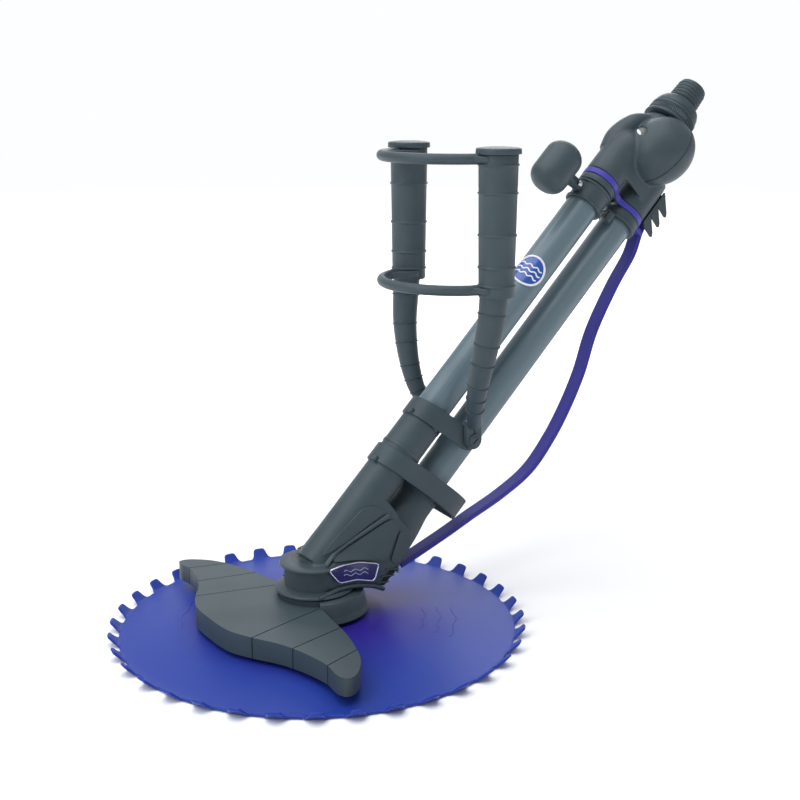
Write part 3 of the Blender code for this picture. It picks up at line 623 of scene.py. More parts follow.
class CLEANER_OT_seal(bpy.types.Operator):
    """Cast the toothed seal, its hub ring and the wave emblems on it"""
    bl_idname = "cleaner.seal"
    bl_label = "Seal"

    def execute(self, context):
        self.disc()
        hub = turned([(0.0457, 0.0225), (0.0457, 0.0120), (0.0405, 0.0120), (0.0405, 0.0225)])
        mould("hub_ring", hub, "seal", ["disc_hub"])
        self.emblems()
        return {'FINISHED'}

    def disc(self):
        bm = bmesh.new()
        mark = bm.verts.layers.float.new("place")
        line = flowing(SEAL_PROFILE, 2)
        verts = [bm.verts.new((r, 0, z)) for r, z in line]
        edges = [bm.edges.new(pair) for pair in zip(verts, verts[1:])]
        steps = TEETH * CELLS
        bmesh.ops.spin(bm, geom=verts + edges, axis=(0, 0, 1), cent=(0, 0, 0), angle=2 * math.pi,
                       steps=steps, use_merge=True)
        bmesh.ops.remove_doubles(bm, verts=bm.verts, dist=MERGE_DIST)
        root = SEAL_PROFILE[-1][0]
        rim = [e for e in bm.edges if e.is_boundary and e.verts[0].co.length > root - 0.001]
        pitch = 2 * math.pi / TEETH
        half = pitch / 3 + 0.0001
        chosen = [e for e in rim if all(abs(self.offset(v, pitch)) < half for v in e.verts)]
        for row, (share, width) in enumerate(TOOTH_ROWS):
            grown = bmesh.ops.extrude_edge_only(bm, edges=chosen)
            fresh = [v for v in grown["geom"] if isinstance(v, bmesh.types.BMVert)]
            chosen = [e for e in grown["geom"] if isinstance(e, bmesh.types.BMEdge)
                      and all(v in fresh for v in e.verts)]
            for v in fresh:
                off = self.offset(v, pitch)
                centre = math.atan2(v.co.y, v.co.x) - off
                place = self.place(off, pitch) if row == 0 else v[mark]
                v[mark] = place
                reach = share - 0.07 * abs(place) ** 4 * share
                outward = Vector((math.cos(centre), math.sin(centre), 0))
                side = Vector((-outward.y, outward.x, 0))
                v.co = outward * (root + TOOTH_OUT * reach) + side * place * width
                v.co.z = SEAL_PROFILE[-1][1] + TOOTH_RISE * reach ** 1.15
        bmesh.ops.recalc_face_normals(bm, faces=bm.faces)
        piece = linked(as_mesh(bm, "seal"), "seal")
        wall = piece.modifiers.new("Wall", 'SOLIDIFY')
        wall.thickness = 0.0028
        wall.offset = 0.0
        curve = piece.modifiers.new("Soft", 'SUBSURF')
        curve.levels = 1
        curve.render_levels = 1
        settle(piece)
        finish(piece, cast_polyurethane(), "seal", ["seal_disc"], angle=60,
               matrix=FOOT @ Matrix.Rotation(math.radians(TOOTH_TURN), 4, 'Z'))

    @staticmethod
    def offset(v, pitch):
        angle = math.atan2(v.co.y, v.co.x)
        return angle - round(angle / pitch) * pitch

    @staticmethod
    def place(off, pitch):
        return max(-1.0, min(1.0, off / (pitch / 3)))

    def emblems(self):
        """Three raised waves on each side, where the mould carries its mark."""
        for turn in (-38, 142):
            for row in range(3):
                start = 0.118 + row * 0.017
                line = []
                for i in range(33):
                    angle = math.radians(-15 + 30 * i / 32)
                    radius = start + 0.0018 * math.sin(i * math.pi / 8)
                    line.append((radius * math.cos(angle), radius * math.sin(angle), self.height(radius)))
                bm = hose(line, 0.0009, 4)
                spun = Matrix.Rotation(math.radians(turn), 4, 'Z')
                make("seal_wave_%d_%d" % (turn % 360, row), bm, cast_polyurethane(), "seal",
                     matrix=FOOT @ spun)

    def height(self, radius):
        for (r0, z0), (r1, z1) in zip(SEAL_PROFILE, SEAL_PROFILE[1:]):
            if r0 <= radius <= r1:
                return z0 + (z1 - z0) * (radius - r0) / (r1 - r0) + 0.0008
        return SEAL_PROFILE[0][1]


class CLEANER_OT_foot(bpy.types.Operator):
    """Turn the foot, its sole and the ring that keeps the seal on"""
    bl_idname = "cleaner.foot"
    bl_label = "Foot"

    def execute(self, context):
        bm = turned([(0.0440, 0.0470), (0.0500, 0.0450), (0.0515, 0.0400), (0.0535, 0.0300), (0.0560, 0.0240),
                     (0.0560, 0.0232), (0.0400, 0.0232), (0.0400, 0.0065), (0.0240, 0.0065),
                     (0.0240, 0.0470)], 0.0010)
        base = linked(as_mesh(bm, "foot"), "foot")
        seat = arc((0, 0), WING_SEAT - 0.0006, 118, 242, 25) + arc((0, 0), 0.0700, 242, 118, 25)
        carve(base, slab(seat, 0.0200, 0.0600))
        finish(base, slate(), "cleaner", ["foot_base"], matrix=FOOT)
        sole = turned([(0.0500, 0.0060), (0.0520, 0.0040), (0.0520, 0.0), (0.0460, 0.0), (0.0445, 0.0015),
                       (0.0330, 0.0015), (0.0315, 0.0), (0.0240, 0.0), (0.0240, 0.0060)])
        make("sole", sole, nitrile_rubber(), "cleaner", ["foot_sole"])
        clip = turned([(0.0440, 0.0112), (0.0440, 0.0066), (0.0403, 0.0066), (0.0403, 0.0112)])
        mould("retaining_ring", clip, "cleaner", ["disc_retainer"])
        return {'FINISHED'}


WING_HALF = [(-0.1330, 0.0), (-0.1325, 0.0200), (-0.1290, 0.0420), (-0.1175, 0.0660), (-0.1030, 0.0890),
             (-0.0940, 0.1085), (-0.0865, 0.1330), (-0.0825, 0.1570), (-0.0845, 0.1760), (-0.0810, 0.1875),
             (-0.0725, 0.1890), (-0.0620, 0.1820), (-0.0480, 0.1640), (-0.0380, 0.1380), (-0.0300, 0.1050),
             (-0.0260, 0.0700)]
WING_GROOVES = [((-0.1210, 0.0670), (-0.0240, 0.0420)), ((-0.0975, 0.1095), (-0.0220, 0.0920)),
                ((-0.0865, 0.1585), (-0.0330, 0.1420))]
WING_SEAT = 0.0446
WING_LOW, WING_HIGH = 0.0175, 0.0415


class CLEANER_OT_wing(bpy.types.Operator):
    """Mould the grooved front wing"""
    bl_idname = "cleaner.wing"
    bl_label = "Wing"

    def execute(self, context):
        half = flowing(WING_HALF, 4)
        seat = arc((0, 0), WING_SEAT, 118, 180, 16)
        outline = half + seat + [(x, -y) for x, y in seat[-2::-1]] + [(x, -y) for x, y in half[:0:-1]]
        bm = slab(outline, WING_LOW, WING_HIGH)
        for step in range(1, 32):
            y = -0.190 + 0.380 * step / 32
            cut_across(bm, (0, y, 0), (0, 1, 0))
        for v in bm.verts:
            drop = self.drop(v.co.y)
            v.co.z -= drop if v.co.z > 0.03 else drop * 0.4
        piece = linked(as_mesh(bm, "wing"), "wing")
        for start, stop in WING_GROOVES:
            for side in (-1, 1):
                a, b = Vector((start[0], start[1] * side)), Vector((stop[0], stop[1] * side))
                self.groove(piece, a, b)
        pocket = block((0.034, 0.120, 0.024), (-0.091, 0, 0.0230))
        carve(piece, pocket)
        finish(piece, slate(), "cleaner", ["front_wing"], edge=0.0012, matrix=FOOT)
        return {'FINISHED'}

    def groove(self, piece, a, b):
        """A shallow slot across the top that also runs down the front face."""
        along = b - a
        middle = (a + b) / 2
        turn = Matrix.Rotation(math.atan2(along.y, along.x), 4, 'Z')
        top = block((along.length, 0.0012, 0.0036), (0, 0, 0))
        high = WING_HIGH - self.drop(middle.y)
        carve(piece, moved(top, Matrix.Translation((middle.x, middle.y, high)) @ turn))
        face = block((0.0100, 0.0012, 0.0400), (0, 0, 0))
        carve(piece, moved(face, Matrix.Translation((a.x, a.y, 0.030)) @ turn))

    @staticmethod
    def drop(y):
        """How far the wing's top falls towards its tips."""
        return 0.0075 * (abs(y) / 0.19) ** 1.6


CORE = [(-0.0080, 0.0560), (0.0040, 0.0552), (0.0300, 0.0540), (0.0500, 0.0492), (0.0635, 0.0425),
        (0.0881, 0.0676), (0.1062, 0.0895), (0.1040, 0.1010), (0.0920, 0.1130), (0.0840, 0.1290),
        (0.0740, 0.1420), (0.0640, 0.1420), (0.0500, 0.1280), (0.0040, 0.0830), (-0.0080, 0.0800)]
SIDE = 0.0346                     # half the width of the housing's flat flanks
SOCKET_R = 0.0233


def narrowed(x, z):
    """The share of its width that the housing keeps: it closes in upwards and towards the front tube."""
    across = x * OUT.x + z * OUT.z
    by_height = 1.0 - 0.24 * max(0.0, min(1.0, (z - 0.062) / 0.085)) ** 1.3
    if across < FRONT:
        by_front = math.sqrt(max(0.0, SOCKET_R ** 2 - (across - FRONT) ** 2)) / SIDE
    else:
        by_front = 0.67 + 0.33 * min(1.0, (across - FRONT) / 0.045)
    above_badge = max(0.0, min(1.0, (z - 0.079) / 0.012))
    return min(by_height, 1.0 - (1.0 - by_front) * above_badge)


def hug(bm):
    """Bend a flank's piece in, so that it lies on the flank as it closes in."""
    for step in range(18):
        across = -0.074 + step * 0.005
        cut_across(bm, OUT * across, OUT)
    for step in range(16):
        cut_across(bm, (0, 0, 0.0640 + step * 0.0050), (0, 0, 1))
    for v in bm.verts:
        side = SIDE if v.co.y > 0 else -SIDE
        v.co.y -= side * (1.0 - narrowed(v.co.x, v.co.z))
    return bm


class CLEANER_OT_housing(bpy.types.Operator):
    """Mould the housing that carries both tubes, solid above its throat, with its neck and flanges"""
    bl_idname = "cleaner.housing"
    bl_label = "Housing"

    def execute(self, context):
        to_foot = FOOT.inverted() @ MAST
        core = hug(moved(slab(soften(CORE, 0.006), -SIDE, SIDE), UPRIGHT))
        front = moved(turned([(0, 0.2490), (SOCKET_R, 0.2490), (SOCKET_R + 0.0004, 0.0480), (0, 0.0480)]),
                      to_foot @ Matrix.Translation((FRONT, 0, 0)))
        rear = moved(turned([(0, 0.1880), (SOCKET_R, 0.1880), (SOCKET_R + 0.0002, 0.1700), (0.0272, 0.1460),
                             (0.0286, 0.1260), (0.0310, 0.1020), (0.0310, 0.0900), (0, 0.0880)], 0.003),
                     to_foot @ Matrix.Translation((REAR, 0, 0)))
        neck = moved(turned([(0, 0.0800), (0.0335, 0.0798), (0.0335, 0.0500), (0, 0.0500)]),
                     Matrix.Translation((-0.004, 0, 0)))
        body = melt(join(core, front, rear, neck), "housing", sizes().voxel, 5)
        throat = hose([(0, 0, 0.030), (0, 0, 0.055), (0.004, 0, 0.064), (0.020, 0, 0.074)],
                      [0.0215, 0.0215, 0.0190, 0.0120], 8)
        carve(body, throat)
        finish(body, slate(), "cleaner", ["main_housing"], matrix=FOOT, angle=50)
        self.lips()
        return {'FINISHED'}

    def lips(self):
        """The two flanges on the neck, the collars at the sockets' mouths and the arch's rounded lip."""
        step = Matrix.Translation((-0.0045, 0, 0))
        upper = turned([(0.0250, 0.0802), (0.0376, 0.0798), (0.0386, 0.0774), (0.0340, 0.0756),
                        (0.0250, 0.0756)], 0.0006)
        flange = linked(as_mesh(upper, "upper_flange"), "upper_flange")
        carve(flange, block((0.06, 0.10, 0.02), (0.042, 0, 0.078)))
        finish(flange, slate(), "cleaner", matrix=FOOT @ step)
        lower = turned([(0.0300, 0.0545), (0.0335, 0.0535), (0.0428, 0.0512), (0.0438, 0.0490),
                        (0.0425, 0.0478), (0.0300, 0.0478)], 0.0010)
        mould("lower_flange", lower, matrix=FOOT @ step)
        for across, low, name in ((FRONT, 0.2075, "front"), (REAR, 0.1840, "rear")):
            lip = turned([(SOCKET_R + 0.0008, low + 0.004), (SOCKET_R + 0.0008, low),
                          (SOCKET_R - 0.001, low), (SOCKET_R - 0.001, low + 0.004)], 0.0005)
            mould(name + "_socket_lip", lip, matrix=at(across))
        for side, name in ((-1, "near"), (1, "far")):
            line = flowing([(-0.0210, -0.0392, 0.0500), (-0.0080, -0.0385, 0.0528), (0.0040, -0.0368, 0.0545),
                            (0.0180, -0.0360, 0.0544), (0.0300, -0.0358, 0.0530), (0.0460, -0.0356, 0.0492),
                            (0.0560, -0.0354, 0.0452), (0.0640, -0.0350, 0.0412)], 6)
            line = [(x, y * -side, z) for x, y, z in line]
            mould(name + "_arch_lip", hose(line, 0.0026, 6))


PANELS = [[(-0.0082, 0.0887), (0.0177, 0.1122), (0.0466, 0.1362), (0.0580, 0.1370),
           (0.0693, 0.1298), (0.0685, 0.1266), (0.0257, 0.1031)],
          [(-0.0004, 0.0847), (0.0307, 0.0990), (0.0730, 0.1182), (0.0809, 0.1182),
           (0.0869, 0.1076), (0.0676, 0.0730), (0.0518, 0.0787), (0.0299, 0.0828)],
          [(0.0880, 0.1047), (0.0955, 0.0979), (0.1020, 0.0885), (0.0858, 0.0686), (0.0788, 0.0686),
           (0.0735, 0.0726)]]
BADGE = [(-0.0082, 0.0786), (0.0095, 0.0814), (0.0301, 0.0808), (0.0565, 0.0732), (0.0503, 0.0542),
         (0.0275, 0.0612), (0.0052, 0.0616)]
RIB = [(-0.0074, 0.0832), (0.0292, 0.1020), (0.0754, 0.1233)]


class CLEANER_OT_trim(bpy.types.Operator):
    """Fit the flank panels, ribs, badges and vents on both sides of the housing"""
    bl_idname = "cleaner.trim"
    bl_label = "Trim"

    def execute(self, context):
        for side, name in ((-1, "near"), (1, "far")):
            face = side * (SIDE + 0.0013)
            for i, outline in enumerate(PANELS):
                nodes = [name + "_side_cover"] if i == 1 else []
                bm = hug(self.plate(outline, face, 0.0010, 0.006))
                mould("%s_panel_%d" % (name, i), bm, nodes=nodes, edge=0.0007)
            self.rib(name, face)
            self.badge(name, side)
            self.vents(name, side)
        return {'FINISHED'}

    def plate(self, outline, middle, thick, corner):
        """An upright plate with round corners, still flat."""
        bm = moved(slab(soften(soften(outline, corner), corner * 0.4), -thick, thick), UPRIGHT)
        return moved(bm, Matrix.Translation((0, middle, 0)))

    def rib(self, name, face):
        line = flowing([(x, face, z) for x, z in RIB], 8)
        radii = [0.0014 + 0.0012 * i / (len(line) - 1) for i in range(len(line))]
        mould(name + "_flank_rib", hug(hose(line, radii, 5)))

    def badge(self, name, side):
        face = side * (SIDE + 0.0014)
        blue = printed_vinyl("printed_vinyl_navy", "#1b1458")
        make(name + "_badge_plate", self.plate(BADGE, face, 0.0016, 0.004), blue, "cleaner",
             [name + "_badge"], 0.0004)
        outline = soften(soften(BADGE, 0.004), 0.0016)
        line = [(x, face + side * 0.0014, z) for x, z in outline]
        make(name + "_badge_frame", hose(line, 0.0010, 4, True), hot_foil(), "cleaner")
        for row in range(2):
            wave = []
            for i in range(33):
                x = 0.0110 + 0.0310 * i / 32
                z = 0.0742 - row * 0.0048 - (x - 0.011) * 0.10 + 0.0012 * math.sin(i * math.pi / 6)
                wave.append((x, face + side * 0.0017, z))
            foil = printed_vinyl("printed_vinyl_pale", "#8f93c8")
            make("%s_badge_wave_%d" % (name, row), hose(wave, 0.0006, 3), foil, "cleaner")

    def vents(self, name, side):
        """Three thin shelves that step down the flank's rear edge, over a black plate of painted shade in the
        recess.
        """
        outline = [(0.0590, 0.0490), (0.0640, 0.0445), (0.0800, 0.0600), (0.0760, 0.0640)]
        # painted shade: a black plate where the recess behind the shelves lies in shade
        backing = moved(slab(soften(outline, 0.002), -0.0004, 0.0004), UPRIGHT)
        moved(backing, Matrix.Translation((0, side * (SIDE + 0.0002), 0)))
        make(name + "_vent_shadow", hug(backing), nitrile_rubber(), "cleaner")
        shelves = []
        for x, z in ((0.0692, 0.0487), (0.0760, 0.0550), (0.0828, 0.0615)):
            shelves.append(moved(block((0.0170, 0.0050, 0.0013), (-0.0070, 0, 0)),
                                 Matrix.Translation((x, side * (SIDE - 0.0005), z)) @
                                 Matrix.Rotation(math.radians(6), 4, 'Y')))
        mould(name + "_vent", hug(join(*shelves)), "cleaner", [name + "_vent_grille"], 0.0004)


ROUNDEL_R = 0.0196


class CLEANER_OT_tubes(bpy.types.Operator):
    """Extrude the twin tubes and wrap the round badge on the front one"""
    bl_idname = "cleaner.tubes"
    bl_label = "Tubes"

    def execute(self, context):
        for across, name in ((FRONT, "front_tube"), (REAR, "rear_tube")):
            tube = turned([(TUBE_R, 0.637), (TUBE_R, 0.150), (0.0175, 0.150), (0.0175, 0.637)])
            make(name + "_pipe", tube, extruded_pvc(), "cleaner", [name], matrix=at(across))
        self.roundel()
        return {'FINISHED'}

    def roundel(self):
        """A blue disc with a white rim and three waves, curved to the tube."""
        blue = printed_vinyl("printed_vinyl_blue", "#1f4fa8")
        white = printed_vinyl("printed_vinyl_white", "#e9edf4")
        bm = bmesh.new()
        bmesh.ops.create_circle(bm, cap_ends=True, segments=64, radius=ROUNDEL_R)
        for step in range(1, 16):
            cut_across(bm, (-ROUNDEL_R + 2 * ROUNDEL_R * step / 16, 0, 0), (1, 0, 0))
        bmesh.ops.solidify(bm, geom=bm.faces[:], thickness=0.0004)
        bmesh.ops.recalc_face_normals(bm, faces=bm.faces)
        self.wrap("roundel", bm, blue, ["tube_badge"], 0.0003)
        ring = [(x, y, 0.0004) for x, y in arc((0, 0), 0.0186, 0, 354, 60)]
        self.wrap("roundel_rim", hose(ring, 0.0013, 3, True), white, [], 0.0003)
        for row in range(3):
            y = 0.0062 - row * 0.0062
            span = math.sqrt(0.0150 ** 2 - y * y)
            wave = [(-span + 2 * span * i / 24, y + 0.0012 * math.sin(i * math.pi / 4), 0.0004)
                    for i in range(25)]
            self.wrap("roundel_wave_%d" % row, hose(wave, 0.0009, 3), white, [], 0.0003)

    def wrap(self, name, bm, material, nodes, lift):
        """Bend a flat piece round the front tube, facing forward and to the near side."""
        middle = math.radians(-143)
        for v in bm.verts:
            angle = middle + v.co.x / TUBE_R
            radius = TUBE_R + lift + v.co.z
            v.co = (radius * math.cos(angle), radius * math.sin(angle), 0.4670 + v.co.y)
        bmesh.ops.recalc_face_normals(bm, faces=bm.faces)
        make(name, bm, material, "cleaner", nodes, matrix=at(FRONT))


class CLEANER_OT_bands(bpy.types.Operator):
    """Bend the lower hoop and the handle's yoke round the tubes"""
    bl_idname = "cleaner.bands"
    bl_label = "Bands"

    def execute(self, context):
        self.hoop()
        self.yoke()
        return {'FINISHED'}

    def hoop(self):
        front = arc((FRONT, 0), 0.0262, 100, 260, 25)
        side = flowing([front[-1], (FRONT + 0.020, -0.0300), (FRONT + 0.050, -0.0328),
                        (FRONT + 0.080, -0.0300), (FRONT + 0.1040, -0.0190), (FRONT + 0.1190, -0.0015)], 6)
        line = front + side[1:] + [(x, -y) for x, y in side[:0:-1]]
        line.append(line[0])
        rise = [0.1795 + 0.095 * (x - FRONT + 0.026) for x, y in line]
        width = [0.0225 + 0.020 * (x - FRONT + 0.026) for x, y in line]
        bm = band(line, rise, [low + w for low, w in zip(rise, width)], 0.0030)
        mould("hoop", bm, "cleaner", ["lower_hoop"], 0.0010, MAST)
        ear = turned([(0, 0.0035), (0.0030, 0.0030), (0.0030, -0.0030), (0, -0.0035)], 0.0012, 32)
        mould("hoop_ear", ear, matrix=at(FRONT - 0.0268, -0.006, 0.1815))

    def yoke(self):
        front = arc((FRONT, 0), 0.0258, 265, 95, 29)
        side = flowing([(0.0015, -0.0350), (-0.0120, -0.0350), (-0.0300, -0.0335), front[0]], 8)
        line = side[:-1] + front + [(x, -y) for x, y in side[-2::-1]]
        share = [max(0.0, min(1.0, (x - FRONT + 0.026) / 0.085)) for x, y in line]
        curl = [max(0.0, (x + 0.0120) / 0.0135) ** 2 for x, y in line]
        lows = [0.2465 + 0.0075 * t + 0.0060 * c for t, c in zip(share, curl)]
        highs = [0.2690 + 0.0090 * t - 0.0060 * c for t, c in zip(share, curl)]
        bm = band(line, lows, highs, 0.0028)
        mould("yoke", bm, "cleaner", ["handle_yoke"], 0.0009, MAST)
        ear = turned([(0, 0.0035), (0.0028, 0.0030), (0.0028, -0.0030), (0, -0.0035)], 0.0012, 32)
        mould("yoke_ear", ear, matrix=at(FRONT - 0.0262, -0.006, 0.2500))


class CLEANER_OT_couplings(bpy.types.Operator):
    """Turn the tube couplings and bend the blue lock band round both"""
    bl_idname = "cleaner.couplings"
    bl_label = "Couplings"

    def execute(self, context):
        front = turned([(0.0236, 0.6125), (0.0236, 0.6045), (0.0203, 0.6045), (0.0203, 0.6125)])
        mould("front_ring", front, "cleaner", ["front_coupling"], matrix=at(FRONT))
        rear = turned([(0.0236, 0.6125), (0.0236, 0.6035), (0.0247, 0.6020), (0.0247, 0.5985),
                       (0.0203, 0.5985), (0.0203, 0.6125)])
        mould("rear_ring", rear, "cleaner", ["rear_coupling"], matrix=at(REAR))
        latch = turned([(0, 0.5975), (0.0058, 0.5970), (0.0052, 0.5845), (0, 0.5840)], 0.0010, 48)
        mould("latch_boss", latch, "cleaner", ["band_latch"],
             matrix=at(REAR - 0.0255, -0.0125))
        self.lock()
        return {'FINISHED'}

    def lock(self):
        """A figure of eight: round the front pipe, in between the pipes, round the rear one."""
        radius = 0.0240
        front = arc((FRONT, 0), radius, 48, 312, 40)
        rear = arc((REAR, 0), radius, 228, 492, 40)
        line = flowing([front[-1], (OUTLET, -0.0125), rear[0]], 6)[1:-1]
        back = [(x, -y) for x, y in line[::-1]]
        path = front + line + rear + back
        path.append(path[0])
        bm = band(path, [0.6132] * len(path), [0.6206] * len(path), 0.0022)
        make("lock_strap", bm, band_elastomer(), "cleaner", ["lock_band"], 0.0007, MAST)
        tail = block((0.0150, 0.0100, 0.0060), (REAR + 0.0265, -0.0060, 0.6150))
        make("lock_tail", tail, band_elastomer(), "cleaner", edge=0.0012, matrix=MAST)


class CLEANER_OT_side_float(bpy.types.Operator):
    """Mould the side float and the collar that turns on the front tube"""
    bl_idname = "cleaner.side_float"
    bl_label = "Side float"

    def execute(self, context):
        low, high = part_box("float_capsule")
        spot = MAST.inverted() @ ((Vector(low) + Vector(high)) / 2)
        radius, half = 0.0230, 0.0350
        dome = [(radius * math.cos(math.radians(a)), half - 0.0180 + 0.0180 * math.sin(math.radians(a)))
                for a in range(84, -1, -12)]
        foot = [(radius - 0.0190 + 0.0190 * math.cos(math.radians(a)),
                 -half + 0.0230 - 0.0170 * math.sin(math.radians(a))) for a in range(0, 91, 10)]
        capsule = turned([(0, half)] + dome + foot + [(0, -half + 0.0060)], 0.0004)
        mould("float_shell", capsule, "side_float", ["float_capsule"],
             matrix=at(spot.x, spot.y, spot.z), angle=60)
        collar = turned([(0.0222, 0.6035), (0.0240, 0.6028), (0.0240, 0.6005), (0.0224, 0.5995),
                         (0.0222, 0.5815), (0.0238, 0.5805), (0.0238, 0.5780), (0.0225, 0.5775),
                         (0.0203, 0.5775), (0.0203, 0.6035)], 0.0005)
        mould("float_clamp", collar, "side_float", ["float_collar"],
             matrix=at(FRONT))
        arm = hose(flowing([(-0.0215, 0, 0.5900), (-0.0300, 0, 0.5890), (-0.0420, 0, 0.5860)], 5),
                   [0.0085 - 0.0015 * math.sin(math.pi * i / 10) for i in range(11)], 8)
        for v in arm.verts:
            v.co.y *= 0.75
        mould("float_neck", arm, "side_float", matrix=at(FRONT))
        screw = turned([(0, -0.0100), (0.0034, -0.0095), (0.0030, -0.0062), (0.0020, -0.0052),
                        (0, -0.0050)], 0.0004, 32)
        make("float_clamp_screw", screw, stainless_steel(), "side_float", ["float_screw"],
             matrix=at(FRONT - 0.0280, 0, 0.5900) @ Matrix.Rotation(math.radians(-90), 4, 'X'))
        return {'FINISHED'}


BULB = (0.0388, 0.0385, 0.0440)
BULB_SPOT = (-0.0256, -0.0225, 0.6955)
LOOP = [(-0.0250, -0.0060, 0.7210), (-0.0440, -0.0020, 0.7185), (-0.0560, 0.0010, 0.7135),
        (-0.0625, 0.0040, 0.7050), (-0.0640, 0.0070, 0.6960), (-0.0632, 0.0095, 0.6885),
        (-0.0622, 0.0105, 0.6830), (-0.0612, 0.0105, 0.6740), (-0.0598, 0.0080, 0.6590)]
LOOP_RADII = [0.0160, 0.0115, 0.0100, 0.0110, 0.0128, 0.0150, 0.0165, 0.0172, 0.0165]


class CLEANER_OT_head(bpy.types.Operator):
    """Mould the head that joins both tubes, solid inside, with its rear cover"""
    bl_idname = "cleaner.head"
    bl_label = "Head"

    def execute(self, context):
        front = turned([(0, 0.6580), (0.0235, 0.6580), (0.0236, 0.6213), (0, 0.6213)])
        rear = turned([(0, 0.6760), (0.0235, 0.6760), (0.0236, 0.6213), (0, 0.6213)])
        bend = hose(flowing([(FRONT, 0, 0.6500), (FRONT + 0.0003, -0.001, 0.6640), (-0.0500, -0.003, 0.6780),
                             (-0.0460, -0.005, 0.6860), (-0.0400, -0.006, 0.6920)], 5),
                    [0.0235] * 6 + [0.0232, 0.0228, 0.0224, 0.0219, 0.0213] + [0.0200, 0.0186, 0.0170, 0.0154,
                                                                               0.0140] + [0.0130] * 5, 12)
        bulb = moved(ball(1, (0, 0, 0), BULB), Matrix.Translation(BULB_SPOT) @ Matrix.Rotation(0.15, 4, 'Y'))
        loop = hose(flowing(LOOP, 5), [r[0] for r in flowing([(r, 0) for r in LOOP_RADII], 5)], 12)
        neck = turned([(0, 0.7365), (0.0240, 0.7360), (0.0290, 0.7310), (0.0325, 0.7180), (0, 0.7060)], 0.003)
        moved(neck, Matrix.Translation((OUTLET, 0, 0)))
        gusset = moved(slab([(-0.0470, 0.6350), (0.0030, 0.6360), (0.0080, 0.6750), (-0.0200, 0.6900),
                             (-0.0450, 0.6800)], -0.0016, 0.0016), UPRIGHT)
        moved(front, Matrix.Translation((FRONT, 0, 0)))
        moved(rear, Matrix.Translation((REAR, 0, 0)))
        moved(gusset, Matrix.Translation((0, -0.0215, 0)))
        body = melt(join(front, rear, bend, loop, neck, gusset, bulb), "head", sizes().voxel * 0.8, 3)
        eye = hose([(-0.0733, -0.0350, 0.6842), (-0.0502, 0.0, 0.7017), (-0.0271, 0.0350, 0.7192)], 0.0052, 8)
        carve(body, eye)
        carve(body, block((0.14, 0.14, 0.03), (OUTLET, 0, 0.7507)))
        mesh = bmesh.new()
        mesh.from_mesh(body.data)
        bpy.data.objects.remove(body, do_unlink=True)
        body = melt(mesh, "head", sizes().voxel * 0.8, 3)
        finish(body, slate(), "cleaner", ["head_manifold"], matrix=MAST, angle=60)
        self.cover()
        spigot = turned([(0.0200, 0.7385), (0.0200, 0.7320), (0.0150, 0.7320), (0.0150, 0.7480),
                         (0.0186, 0.7480), (0.0186, 0.7385)])
        mould("spigot", spigot, matrix=at(OUTLET))
        seal = turned([(0.0199, 0.7430), (0.0199, 0.7400), (0.0188, 0.7400), (0.0188, 0.7430)], 0.0010)
        make("o_ring", seal, nitrile_rubber(), "cleaner", ["swivel_o_ring"],
             matrix=at(OUTLET))
        return {'FINISHED'}

    def cover(self):
        """The rear half of the bulb, a shade larger, so that its parting line shows as a step."""
        shell = ball(1, (0, 0, 0), [r + 0.0010 for r in BULB])
        moved(shell, Matrix.Translation(BULB_SPOT) @ Matrix.Rotation(0.15, 4, 'Y'))
        tilt = Vector((0.995, -0.088, 0.038)).normalized()
        cut_across(shell, (-0.0190, -0.0225, 0.6955), tilt, 0, clear_inner=True)
        cut_across(shell, (0, 0, 0.7352), (0, 0, 1), 0, clear_outer=True)
        bmesh.ops.solidify(shell, geom=shell.faces[:], thickness=0.0022)
        bmesh.ops.recalc_face_normals(shell, faces=shell.faces)
        mould("head_cover", shell, "cleaner", ["head_rear_cover"], 0.0005, MAST)


class CLEANER_OT_outlet(bpy.types.Operator):
    """Turn the knurled swivel collar and the ribbed hose nipple"""
    bl_idname = "cleaner.outlet"
    bl_label = "Outlet"

    def execute(self, context):
        self.collar()
        profile = [(0.0164, 0.8000), (0.0174, 0.7990)]
        for rib in range(5):
            top = 0.7962 - rib * 0.0050
            radius = 0.0176 + rib * 0.00030
            crest = radius + 0.0009
            profile += [(radius - 0.0004, top), (crest, top - 0.0012), (crest, top - 0.0020),
                        (radius - 0.0004, top - 0.0026)]
        profile += [(0.0192, 0.7725), (0.0220, 0.7705), (0.0262, 0.7665), (0.0286, 0.7612), (0.0294, 0.7560),
                    (0.0142, 0.7560), (0.0142, 0.8000)]
        mould("nipple", turned(profile, 0.0005), "outlet", ["hose_nipple"],
             matrix=at(OUTLET))
        return {'FINISHED'}

    def collar(self):
        """A collar whose grip is cut into fine ridges between two plain lips."""
        profile = [(0.0290, 0.7558), (0.0304, 0.7548), (0.0304, 0.7518), (0.0294, 0.7512), (0.0294, 0.7500),
                   (0.0308, 0.7494), (0.0308, 0.7426), (0.0300, 0.7420), (0.0300, 0.7410), (0.0314, 0.7404),
                   (0.0318, 0.7386), (0.0312, 0.7372), (0.0203, 0.7368), (0.0203, 0.7500), (0.0150, 0.7500),
                   (0.0150, 0.7558)]
        bm = turned(profile, 0.0003, 144)
        for v in bm.verts:
            reach = math.hypot(v.co.x, v.co.y)
            ridge = 0.7428 < v.co.z < 0.7492 and reach > 0.0300
            count = round(math.atan2(v.co.y, v.co.x) / (2 * math.pi) * 144)
            if ridge and count % 2 == 0:
                v.co.x *= 0.972
                v.co.y *= 0.972
        mould("collar", bm, "outlet", ["swivel_collar"], matrix=at(OUTLET), angle=25)


